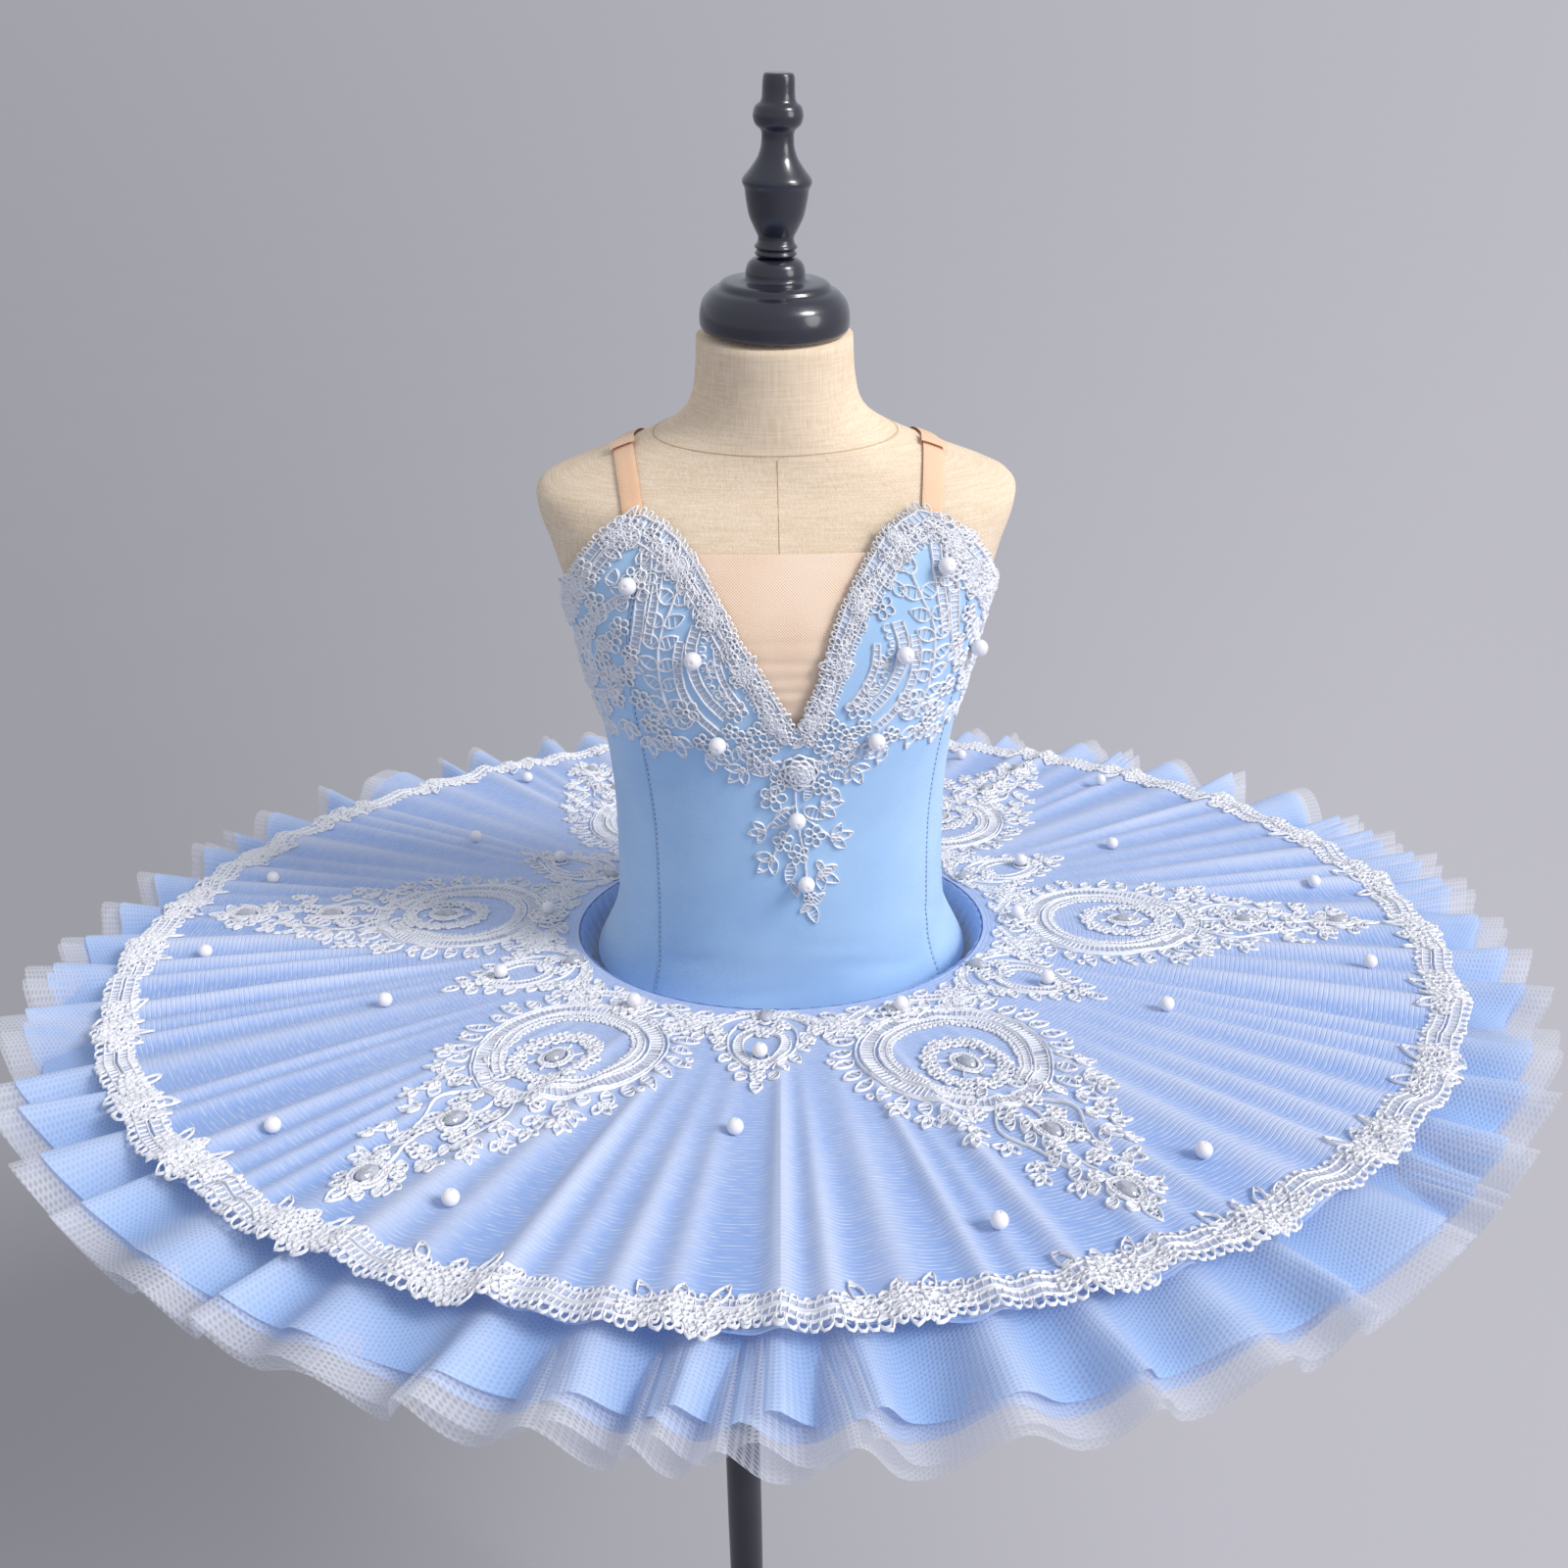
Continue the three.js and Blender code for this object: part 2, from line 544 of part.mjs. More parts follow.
// Motif outlines: half width by distance from the waist centre.
const MOTIF_COLUMNS = ["radius", "halfWidth"];
const LARGE_MOTIF = table(MOTIF_COLUMNS, [
  [134, 16], [140, 36], [160, 56], [190, 67], [215, 68], [240, 60], [265, 44], [290, 33],
  [320, 31], [345, 26], [366, 14], [378, 3],
]);
const SMALL_MOTIF = table(MOTIF_COLUMNS, [
  [134, 16], [142, 27], [158, 25], [178, 20], [196, 15], [212, 9], [222, 3],
]);

function motifOutline(rows, azimuth) {
  const away = point(Math.sin(rad(azimuth)), -Math.cos(rad(azimuth)), 0);
  const aside = point(-away.y, away.x, 0);
  const at = (row, side) => {
    const p = away.clone().multiplyScalar(row.radius).addScaledVector(aside, side * row.halfWidth);
    return new THREE.Vector2(p.x, p.y);
  };
  return [...rows.map((row) => at(row, -1)), ...[...rows].reverse().map((row) => at(row, 1))];
}
const MOTIFS = 6;
const MOTIF_STEP = 360 / MOTIFS;
for (let i = 0; i < MOTIFS; i += 1) {
  const small = MOTIF_TURN + i * MOTIF_STEP;
  const large = small + MOTIF_STEP / 2;
  add(`skirt_motif_large_${i + 1}`, "lace", cutLace(motifOutline(LARGE_MOTIF, large)), onSkirt);
  add(`skirt_motif_small_${i + 1}`, "lace", cutLace(motifOutline(SMALL_MOTIF, small)), onSkirt);
}

export default part;
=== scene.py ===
"""The looks of a child's stage tutu on a limbless dress form and stand.

Sizes are millimetres in the row frame (+Z up, front faces -Y) and become metres when a mesh is
made. Azimuths are degrees from the front towards +X. The form, the skirt plate and the bodice
use the same sections and edges as the solids they stand for.
"""
import math

import bpy
import numpy as np
from mathutils import Matrix, Vector


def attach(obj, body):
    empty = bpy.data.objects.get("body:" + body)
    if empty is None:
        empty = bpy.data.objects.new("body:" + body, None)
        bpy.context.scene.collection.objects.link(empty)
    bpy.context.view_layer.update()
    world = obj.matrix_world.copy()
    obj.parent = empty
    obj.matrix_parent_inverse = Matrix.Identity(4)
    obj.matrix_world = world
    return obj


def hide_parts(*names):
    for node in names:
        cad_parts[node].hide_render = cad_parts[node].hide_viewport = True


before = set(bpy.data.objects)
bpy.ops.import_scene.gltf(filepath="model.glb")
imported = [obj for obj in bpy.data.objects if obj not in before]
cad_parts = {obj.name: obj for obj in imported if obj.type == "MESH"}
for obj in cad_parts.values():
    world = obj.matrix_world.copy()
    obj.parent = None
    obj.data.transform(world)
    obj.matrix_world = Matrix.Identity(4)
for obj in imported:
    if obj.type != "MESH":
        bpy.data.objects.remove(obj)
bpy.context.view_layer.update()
rng = np.random.default_rng(11)
MM = 0.001

# ---- sizes shared with the solids ----
WAIST = np.array([35.0, 0.0, 900.0])
SKIRT_TILT = 10.1
SKIRT_ROLL = 0.43
TWIST = 7.0
RIM_R = 130.0
OVERLAY_R = 409.0
BRAID_R = 400.0
FRILL_R = 466.0
MOTIF_TURN = -3.4
LINER_OUT = 0.8
BODICE_OUT = 4.4                 # outer face of the bodice above the form
TRIM_OUT = BODICE_OUT + 0.3
HEM_DROP = 15.0
HEM_TILT = 0.55
HEM_FLARE = 7.0
BASQUE_DEPTH = 42.0
YOKE_DEPTH = 74.0
V_AZIMUTH = 6.0
MM_PER_DEGREE = 1.75             # round the form at bust height
SEAM_MM_PER_DEGREE = 1.7         # round the form along its seams

# height above the skirt's rim, half width, front depth, back depth, squareness
FORM_SECTIONS = np.array([
    (-95, 92, 66, 74, 2.2), (-60, 106, 78, 86, 2.2), (-15, 107, 84, 84, 2.2),
    (25, 99, 86, 74, 2.2), (65, 96.5, 85, 68, 2.2), (110, 96.5, 85, 67, 2.2),
    (150, 100, 87, 70, 2.3), (190, 109, 91, 76, 2.3), (230, 117, 87, 80, 2.4),
    (262, 126, 74, 76, 2.5), (291, 133.5, 56, 62, 2.6), (299, 126, 50, 55, 2.4),
    (313, 90, 44, 48, 2.2), (325, 62, 42, 46, 2.0), (335, 49, 41.5, 45, 2.0),
    (350, 43.8, 40.5, 43, 2.0), (374, 42, 40, 41.5, 2.0),
])
HALF_WIDTH, FRONT, BACK, SQUARE = 1, 2, 3, 4

# azimuth, height of the bodice's upper edge
TOP_EDGE = np.array([
    (-180, 205), (-150, 205), (-120, 211), (-100, 219), (-84, 228), (-72, 242), (-65, 262),
    (-59, 285), (-54, 291), (-47, 286), (-40, 280), (-33, 271), (-27, 261), (-20, 248),
    (-14, 234), (-7, 218), (-1, 202), (4, 187), (6, 183), (8, 187), (14, 210), (20, 236),
    (24, 248), (30, 260), (36, 270), (43, 280), (50, 287), (57, 292), (63, 280), (71, 254),
    (86, 231), (102, 220), (122, 211), (152, 205), (180, 205),
])


def read_sections(height, column):
    """A column of the form's sections at any height, as a smooth curve through the rows."""
    rows = FORM_SECTIONS
    levels = rows[:, 0]
    values = rows[:, column]
    last = len(rows) - 1
    before = np.maximum(np.arange(last + 1) - 1, 0)
    after = np.minimum(np.arange(last + 1) + 1, last)
    slopes = (values[after] - values[before]) / (levels[after] - levels[before])
    height = np.clip(height, levels[0], levels[last])
    i = np.clip(np.searchsorted(levels, height, side="right") - 1, 0, last - 1)
    span = levels[i + 1] - levels[i]
    t = (height - levels[i]) / span
    return ((2 * t**3 - 3 * t**2 + 1) * values[i] + (t**3 - 2 * t**2 + t) * slopes[i] * span
            + (3 * t**2 - 2 * t**3) * values[i + 1] + (t**3 - t**2) * slopes[i + 1] * span)


def form_level(p):
    """1 on the form's surface, less inside it and more outside it."""
    depth = np.where(p[..., 1] > 0, read_sections(p[..., 2], BACK),
                     read_sections(p[..., 2], FRONT))
    square = read_sections(p[..., 2], SQUARE)
    half_width = read_sections(p[..., 2], HALF_WIDTH)
    return (np.abs(p[..., 0]) / half_width) ** square + (np.abs(p[..., 1]) / depth) ** square


def outward(p):
    """The way out of the form at its surface, from the slope of its level."""
    step = 0.5
    slope = np.stack([form_level(p + step * axis) - form_level(p - step * axis)
                      for axis in np.eye(3)], -1)
    return slope / np.linalg.norm(slope, axis=-1, keepdims=True)


def form_point(azimuth, height, out=0.0):
    """A point of the form, about the waist's centre, moved out from its surface."""
    azimuth, height, out = np.broadcast_arrays(azimuth, height, out)
    a = np.radians(azimuth.astype(float))
    height = height.astype(float)
    square = read_sections(height, SQUARE)
    depth = np.where(np.cos(a) < 0, read_sections(height, BACK), read_sections(height, FRONT))
    level = ((np.abs(np.sin(a)) / read_sections(height, HALF_WIDTH)) ** square
             + (np.abs(np.cos(a)) / depth) ** square)
    r = level ** (-1 / square)
    p = np.stack([r * np.sin(a), -r * np.cos(a), height], -1)
    return p + outward(p) * out[..., None]


def turn_x(degrees):
    c, s = math.cos(math.radians(degrees)), math.sin(math.radians(degrees))
    return np.array([(1, 0, 0), (0, c, -s), (0, s, c)])


def turn_y(degrees):
    c, s = math.cos(math.radians(degrees)), math.sin(math.radians(degrees))
    return np.array([(c, 0, s), (0, 1, 0), (-s, 0, c)])


SKIRT_AXES = turn_y(-SKIRT_ROLL) @ turn_x(-SKIRT_TILT)


def polar(radius, azimuth, height):
    """Points round the waist's axis, with azimuth 0 at the front."""
    radius, azimuth, height = np.broadcast_arrays(radius, azimuth, height)
    a = np.radians(azimuth)
    return np.stack([radius * np.sin(a), -radius * np.cos(a), height], -1)


def on_form(p):
    return p + WAIST


def on_skirt(p):
    """From the skirt plate's own tilted axes to the row frame."""
    return p @ SKIRT_AXES.T + WAIST


def blend(a, b, t):
    return a + (b - a) * t


def ease(t):
    t = np.clip(t, 0, 1)
    return t * t * (3 - 2 * t)


# ---- making pieces ----
def add_piece(name, points, faces, materials, nodes=(), cloth=None, picks=None,
              smooth=True):
    """A mesh piece from points in millimetres. `cloth` is a (u, v, fold) value at each point,
    and `picks` the material number of each face."""
    mesh = bpy.data.meshes.new(name)
    faces = [faces] if isinstance(faces, np.ndarray) else faces
    sizes = np.concatenate([np.full(len(part), part.shape[1]) for part in faces])
    corners = np.concatenate([part.ravel() for part in faces])
    mesh.vertices.add(len(points))
    mesh.vertices.foreach_set("co", (points * MM).astype(np.float32).ravel())
    mesh.loops.add(len(corners))
    mesh.loops.foreach_set("vertex_index", corners.astype(np.int32))
    mesh.polygons.add(len(sizes))
    starts = np.concatenate([[0], np.cumsum(sizes)[:-1]])
    mesh.polygons.foreach_set("loop_start", starts.astype(np.int32))
    if picks is not None:
        mesh.polygons.foreach_set("material_index", np.asarray(picks, np.int32))
    mesh.update(calc_edges=True)
    mesh.validate()
    mesh.polygons.foreach_set("use_smooth", np.full(len(mesh.polygons), smooth))
    if cloth is not None:
        attribute = mesh.attributes.new("cloth", "FLOAT_VECTOR", "POINT")
        attribute.data.foreach_set("vector", cloth.astype(np.float32).ravel())
    for material in materials:
        mesh.materials.append(material)
    piece = bpy.data.objects.new(name, mesh)
    bpy.context.scene.collection.objects.link(piece)
    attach(piece, "root")
    if nodes:
        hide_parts(*nodes)
    return piece


def grid_faces(columns, rows, around=False):
    """Quads of a grid whose points run along u first. `around` joins its last column to its first."""
    across = columns if around else columns + 1
    i = np.arange(columns)
    j = np.arange(rows)[:, None] * across
    a = (j + i).ravel()
    b = (j + (i + 1) % across).ravel()
    return np.stack([a, b, b + across, a + across], 1)


def grid(columns, rows):
    """u and v of each point of a grid, each from 0 to 1."""
    v, u = np.meshgrid(np.linspace(0, 1, rows + 1), np.linspace(0, 1, columns + 1),
                       indexing="ij")
    return u.ravel(), v.ravel()


def lathe(outline, sides):
    """Points and faces of a turned body from an outline of (radius, height) rows."""
    angle = np.linspace(0, 2 * np.pi, sides, endpoint=False)
    radius, height = np.array(outline, float).T
    points = np.stack([np.outer(radius, np.cos(angle)), np.outer(radius, np.sin(angle)),
                       np.outer(height, np.ones(sides))], -1).reshape(-1, 3)
    return points, grid_faces(sides, len(outline) - 1, around=True)


def rounded(outline, steps=4, bevel=0.35):
    """The outline with each inner corner replaced by a short curve."""
    outline = np.array(outline, float)
    result = [outline[0]]
    for before, corner, after in zip(outline, outline[1:], outline[2:]):
        start = blend(corner, before, bevel)
        end = blend(corner, after, bevel)
        for t in np.linspace(0, 1, steps):
            result.append((1 - t) ** 2 * start + 2 * t * (1 - t) * corner + t**2 * end)
    result.append(outline[-1])
    return np.array(result)


# ---- materials ----
def srgb(red, green, blue):
    values = [c / 255 for c in (red, green, blue)]
    linear = [c / 12.92 if c <= 0.04045 else ((c + 0.055) / 1.055) ** 2.4 for c in values]
    return (*linear, 1.0)


class Shader:
    """A node material built by short calls, each giving back an output socket."""

    def __init__(self, name):
        self.material = bpy.data.materials.new(name)
        self.material.use_nodes = True
        self.tree = self.material.node_tree
        self.tree.nodes.clear()
        self.output = self.tree.nodes.new("ShaderNodeOutputMaterial")

    def node(self, kind, inputs, **settings):
        node = self.tree.nodes.new(kind)
        for name, value in settings.items():
            setattr(node, name, value)
        for name, value in inputs.items():
            if isinstance(value, bpy.types.NodeSocket):
                self.tree.links.new(value, node.inputs[name])
            else:
                node.inputs[name].default_value = value
        return node

    def math(self, operation, a, b=0.0, c=0.0):
        return self.node("ShaderNodeMath", {0: a, 1: b, 2: c}, operation=operation).outputs[0]

    def map(self, value, low, high, to_low, to_high):
        inputs = {"Value": value, "From Min": low, "From Max": high, "To Min": to_low,
                  "To Max": to_high}
        return self.node("ShaderNodeMapRange", inputs, clamp=True).outputs[0]

    def mix(self, factor, a, b):
        return self.node("ShaderNodeMix", {0: factor, 6: a, 7: b}, data_type="RGBA").outputs[2]

    def place(self):
        return self.node("ShaderNodeTexCoord", {}).outputs["Object"]

    def cloth(self):
        """The piece's own (u, v, fold) values as three sockets and a vector."""
        vector = self.node("ShaderNodeAttribute", {}, attribute_name="cloth").outputs["Vector"]
        split = self.node("ShaderNodeSeparateXYZ", {0: vector})
        return split.outputs[0], split.outputs[1], split.outputs[2], vector

    def noise(self, vector, scale, detail=2.0):
        return self.node("ShaderNodeTexNoise", {"Vector": vector, "Scale": scale,
                                                "Detail": detail}).outputs[0]

    def stretched(self, vector, scale):
        return self.node("ShaderNodeMapping", {"Vector": vector, "Scale": scale}).outputs[0]

    def bump(self, height, distance, strength=1.0):
        inputs = {"Height": height, "Distance": distance, "Strength": strength}
        return self.node("ShaderNodeBump", inputs).outputs[0]

    def surface(self, inputs):
        return self.node("ShaderNodeBsdfPrincipled", inputs).outputs[0]

    def see_through(self, surface, opacity):
        clear = self.node("ShaderNodeBsdfTransparent", {}).outputs[0]
        return self.node("ShaderNodeMixShader", {0: opacity, 1: clear, 2: surface}).outputs[0]

    def backlit(self, surface, colour, share):
        glow = self.node("ShaderNodeBsdfTranslucent", {"Color": colour}).outputs[0]
        return self.node("ShaderNodeMixShader", {0: share, 1: surface, 2: glow}).outputs[0]

    def done(self, surface):
        self.tree.links.new(surface, self.output.inputs["Surface"])
        return self.material


def hexagon_holes(shader, u, v, pitch):
    """High in the middle of each hole of a hexagonal net, low on its threads."""
    turn = 2 * math.pi / pitch
    total = None
    for along, aside in ((1.0, 0.0), (-0.5, math.sqrt(0.75)), (-0.5, -math.sqrt(0.75))):
        phase = shader.math("ADD", shader.math("MULTIPLY", u, turn * along),
                            shader.math("MULTIPLY", v, turn * aside))
        wave = shader.math("COSINE", phase)
        total = wave if total is None else shader.math("ADD", total, wave)
    return total


def net_material(name, colour, crest_light_colour, opacity, hole_opacity, pitch=2.0):
    """A hexagonal net with painted light and shade: paler on the crests of its folds and darker in
    their troughs, with threads less see-through than its holes.
    """
    shader = Shader(name)
    u, v, fold, vector = shader.cloth()
    holes = hexagon_holes(shader, u, v, pitch)
    mask = shader.map(holes, -0.6, 1.6, 0.0, 1.0)
    patchy = shader.noise(vector, 0.035, 3.0)
    # Painted light and shade by fold height: crests take the paler colour, troughs the darker; the
    # patchy noise adds tone that differs at random.
    tone = shader.map(shader.math("ADD", fold, shader.math("MULTIPLY", patchy, 0.8)),
                      -0.6, 1.3, 0.0, 1.0)
    base = shader.mix(tone, colour, crest_light_colour)
    bump = shader.bump(mask, 0.0004, 0.5)
    surface = shader.surface({"Base Color": base, "Roughness": 0.6, "Normal": bump,
                              "Sheen Weight": 0.25, "Specular IOR Level": 0.3})
    surface = shader.backlit(surface, base, 0.25)
    solid = shader.map(mask, 0.0, 1.0, opacity, hole_opacity)
    return shader.done(shader.see_through(surface, solid))


def glitter_net_material():
    """The top net: fine concentric tinsel threads on a soft blue net, with painted light and shade:
    paler on its ridges, darker between them, and painted glints along its threads.
    """
    shader = Shader("glitter_net")
    u, v, fold, vector = shader.cloth()
    wander = shader.noise(vector, 0.05, 2.0)
    row = shader.math("ADD", shader.math("MULTIPLY", v, 2 * math.pi / 2.7),
                      shader.math("MULTIPLY", wander, 5.0))
    wave = shader.math("SINE", row)
    thread = shader.map(wave, 0.35, 0.85, 0.0, 1.0)
    # Painted glints: the tinsel threads turn pale only in broken patches, where they would catch the
    # light.
    broken = shader.noise(shader.stretched(vector, (0.16, 0.9, 0.0)), 1.0, 3.0)
    glint_patches = shader.math("MULTIPLY", thread, shader.map(broken, 0.42, 0.6, 0.0, 1.0))
    # Painted light and shade by fold height, with some tone that differs at random: ridges paler,
    # hollows darker.
    patchy = shader.noise(vector, 0.02, 3.0)
    tone = shader.map(shader.math("ADD", fold, shader.math("MULTIPLY", patchy, 0.5)),
                      -0.3, 0.9, 0.0, 1.0)
    base = shader.mix(tone, srgb(158, 190, 245), srgb(216, 227, 253))
    base = shader.mix(shader.math("MULTIPLY", glint_patches, 0.75), base, srgb(236, 242, 255))
    surface = shader.surface({"Base Color": base, "Roughness": 0.45, "Sheen Weight": 0.3,
                              "Normal": shader.bump(thread, 0.0006, 0.6),
                              "Specular IOR Level": 0.5})
    surface = shader.backlit(surface, base, 0.2)
    edge = shader.map(v, 392.0, 402.0, 0.94, 0.7)
    return shader.done(shader.see_through(surface, edge))


def lace_material():
    """Twisted white cord."""
    shader = Shader("corded_lace")
    place = shader.place()
    twist = shader.noise(place, 2200.0, 2.0)
    tone = shader.mix(shader.noise(place, 60.0, 2.0), srgb(222, 222, 229), srgb(240, 240, 244))
    return shader.done(shader.surface({
        "Base Color": tone, "Roughness": 0.65, "Sheen Weight": 0.3,
        "Normal": shader.bump(twist, 0.0004, 0.6)}))


def lace_ground_material():
    """The fine net inside leaves and between the cords."""
    shader = Shader("lace_ground")
    place = shader.place()
    fine = shader.noise(place, 1500.0, 1.0)
    surface = shader.surface({"Base Color": srgb(228, 230, 240), "Roughness": 0.7})
    return shader.done(shader.see_through(surface, shader.map(fine, 0.4, 0.6, 0.2, 0.62)))


def linen_material():
    """Plain weave with slubs: thread waves both ways, and long thin darker threads."""
    shader = Shader("linen")
    place = shader.place()
    split = shader.node("ShaderNodeSeparateXYZ", {0: place})
    warp = shader.math("SINE", shader.math("MULTIPLY", split.outputs[0], 2 * math.pi / 0.0011))
    weft = shader.math("SINE", shader.math("MULTIPLY", split.outputs[2], 2 * math.pi / 0.0011))
    weave = shader.math("MULTIPLY", warp, weft)
    tall = shader.noise(shader.stretched(place, (900.0, 900.0, 45.0)), 1.0, 3.0)
    wide = shader.noise(shader.stretched(place, (60.0, 60.0, 1100.0)), 1.0, 3.0)
    streaks = shader.math("ADD", tall, wide)
    base = shader.mix(shader.map(streaks, 0.7, 1.3, 0.0, 1.0), srgb(222, 198, 168),
                      srgb(240, 220, 196))
    slub = shader.map(shader.noise(shader.stretched(place, (500.0, 500.0, 40.0)), 1.0, 1.0),
                      0.72, 0.8, 0.0, 0.4)
    base = shader.mix(slub, base, srgb(190, 160, 128))
    height = shader.math("ADD", shader.math("MULTIPLY", weave, 0.5), streaks)
    return shader.done(shader.surface({
        "Base Color": base, "Roughness": 0.85, "Normal": shader.bump(height, 0.0004, 0.5)}))


def knit_material(name, colour, light, rib=1.1, sheen=0.35):
    """A fine matte knit with faint rows."""
    shader = Shader(name)
    place = shader.place()
    split = shader.node("ShaderNodeSeparateXYZ", {0: place})
    rows = shader.math("SINE", shader.math("MULTIPLY", split.outputs[2],
                                           2 * math.pi / (rib * MM)))
    cross = shader.math("SINE", shader.math("MULTIPLY", split.outputs[0],
                                            2 * math.pi / (rib * MM)))
    fine = shader.noise(place, 900.0, 2.0)
    height = shader.math("ADD", shader.math("MULTIPLY", rows, cross), fine)
    soft = shader.noise(place, 14.0, 3.0)
    base = shader.mix(shader.map(soft, 0.35, 0.65, 0.0, 1.0), colour, light)
    base = shader.mix(shader.map(fine, 0.3, 0.7, 0.0, 0.16), base, light)
    return shader.done(shader.surface({
        "Base Color": base, "Roughness": 0.7, "Sheen Weight": sheen,
        "Normal": shader.bump(height, 0.00025, 0.5), "Specular IOR Level": 0.3}))


def black_material(name, roughness, coat):
    """Black paint with a fine grain."""
    shader = Shader(name)
    place = shader.place()
    soft = shader.noise(place, 35.0, 3.0)
    specks = shader.noise(place, 700.0, 2.0)
    base = shader.mix(soft, srgb(22, 22, 34), srgb(38, 38, 52))
    return shader.done(shader.surface({
        "Base Color": base, "Roughness": roughness, "Coat Weight": coat,
        "Coat Roughness": 0.12, "Normal": shader.bump(specks, 0.0001, 0.3)}))


def pearl_material():
    """A warm white bead with a hard gloss."""
    shader = Shader("pearl")
    place = shader.place()
    base = shader.mix(shader.noise(place, 120.0, 2.0), srgb(228, 222, 226), srgb(246, 244, 246))
    return shader.done(shader.surface({
        "Base Color": base, "Roughness": 0.28, "Coat Weight": 0.8, "Coat Roughness": 0.06,
        "Sheen Weight": 0.2}))


def gem_material():
    """A grey faceted stone."""
    shader = Shader("gem")
    place = shader.place()
    base = shader.mix(shader.noise(place, 260.0, 2.0), srgb(146, 148, 158), srgb(200, 202, 212))
    return shader.done(shader.surface({
        "Base Color": base, "Roughness": 0.22, "Metallic": 0.1, "Coat Weight": 0.4,
        "Coat Roughness": 0.1}))


def thread_material(name, colour, other):
    shader = Shader(name)
    place = shader.place()
    base = shader.mix(shader.noise(place, 500.0, 1.0), colour, other)
    return shader.done(shader.surface({"Base Color": base, "Roughness": 0.8}))


LINEN = linen_material()
BLACK_METAL = black_material("black_metal", 0.42, 0.2)
BLACK_GLOSS = black_material("black_gloss", 0.3, 0.6)
BODICE = knit_material("bodice_knit", srgb(160, 196, 234), srgb(176, 209, 241))
NUDE_MESH = knit_material("nude_mesh", srgb(238, 206, 178), srgb(246, 220, 196), 1.6)
STRAP = knit_material("strap_elastic", srgb(236, 190, 152), srgb(244, 204, 170), 0.9)
# The second colour of each net is painted light on the crests of its folds.
BASQUE = net_material("basque_net", srgb(168, 200, 252), srgb(196, 218, 255), 1.0, 0.96)
GLITTER = glitter_net_material()
BLUE_NET = net_material("blue_net", srgb(150, 192, 246), srgb(212, 226, 252), 0.88, 0.7)
WHITE_NET = net_material("white_net", srgb(204, 208, 226), srgb(240, 242, 250), 0.46, 0.2)
LACE = lace_material()
LACE_GROUND = lace_ground_material()
PEARL = pearl_material()
GEM = gem_material()
STITCH = thread_material("stitch", srgb(98, 120, 166), srgb(132, 150, 190))
SEAM_THREAD = thread_material("form_seam", srgb(214, 188, 158), srgb(196, 170, 140))

# ---- stand and form ----
POLE_R = 13.8
FOOT_TOP = 34.0
COLLAR_TOP = WAIST[2] + FORM_SECTIONS[0, 0] - 0.3
COLLAR_DEPTH = 10.0
CAP_BASE = 375.6
FINIAL_LEAN = 1.65
FOOT_OUTLINE = [(0, 0), (139, 0), (140, 1), (140, 8), (136, 13), (60, 19), (26, 24), (22, 33),
                (21, FOOT_TOP), (0, FOOT_TOP)]
POLE_TOP = COLLAR_TOP - COLLAR_DEPTH - 0.3
POLE_OUTLINE = [(0, 34.3), (POLE_R, 34.3), (POLE_R, POLE_TOP), (0, POLE_TOP)]
COLLAR_OUTLINE = [(0, COLLAR_TOP - COLLAR_DEPTH), (24, COLLAR_TOP - COLLAR_DEPTH),
                  (30, COLLAR_TOP - 4), (30, COLLAR_TOP), (0, COLLAR_TOP)]
CAP_OUTLINE = [(0, 0), (38, 0), (40, 3), (40.2, 9), (38.6, 16), (34, 21), (30, 22.6),
               (29, 24.6), (27, 26), (15.8, 26.6), (15.8, 31), (14.6, 35), (11, 38), (0, 38)]
FINIAL_OUTLINE = [(0, 0), (9.6, 0), (11.4, 1.6), (9.8, 3.2), (11.6, 5), (9.8, 6.8),
                  (9.2, 9.6), (11.5, 14), (14.4, 20), (16.1, 28.6), (16.6, 33.6), (18, 36),
                  (18, 38.4), (14, 43), (10.2, 48.4), (8.4, 54), (8.1, 61), (12, 64),
                  (13, 68.2), (12, 72.6), (8.4, 75), (8.1, 86.4), (7, 88), (0, 88)]
FINIAL_FOOT = 38.3
LEAN_AXES = turn_y(FINIAL_LEAN)


def on_neck(points):
    """From the cap's own axes, which lean a little, to the row frame."""
    return points @ LEAN_AXES.T + WAIST + (0, 0, CAP_BASE)


def turned_piece(name, outline, place, material, lift=0.0):
    points, faces = lathe(rounded(outline), 72)
    add_piece(name, place(points + (0, 0, lift)), faces, [material], [name])


turned_piece("stand_foot", FOOT_OUTLINE, lambda p: p, BLACK_METAL)
turned_piece("stand_pole", POLE_OUTLINE, lambda p: p, BLACK_METAL)
turned_piece("form_collar", COLLAR_OUTLINE, lambda p: p, BLACK_METAL)
turned_piece("neck_cap", CAP_OUTLINE, on_neck, BLACK_GLOSS)
turned_piece("finial", FINIAL_OUTLINE, on_neck, BLACK_GLOSS, FINIAL_FOOT)


def form_piece():
    """The torso's cloth, closed at the neck and at the foot."""
    columns, rows = 96, 110
    u, v = grid(columns, rows)
    low, high = FORM_SECTIONS[0, 0], FORM_SECTIONS[-1, 0]
    height = blend(low, high, v)
    points = on_form(form_point(u * 360, height))
    faces = grid_faces(columns, rows)
    ends = []
    for row, level in ((0, low), (rows, high)):
        start = row * (columns + 1)
        middle = len(points)
        points = np.vstack([points, WAIST + (0, 0, level)])
        ring = start + np.arange(columns)
        ends.append(np.stack([ring, ring + 1, np.full(columns, middle)], 1))
    add_piece("form_torso", points, [faces, *ends], [LINEN], ["form_torso"])


form_piece()


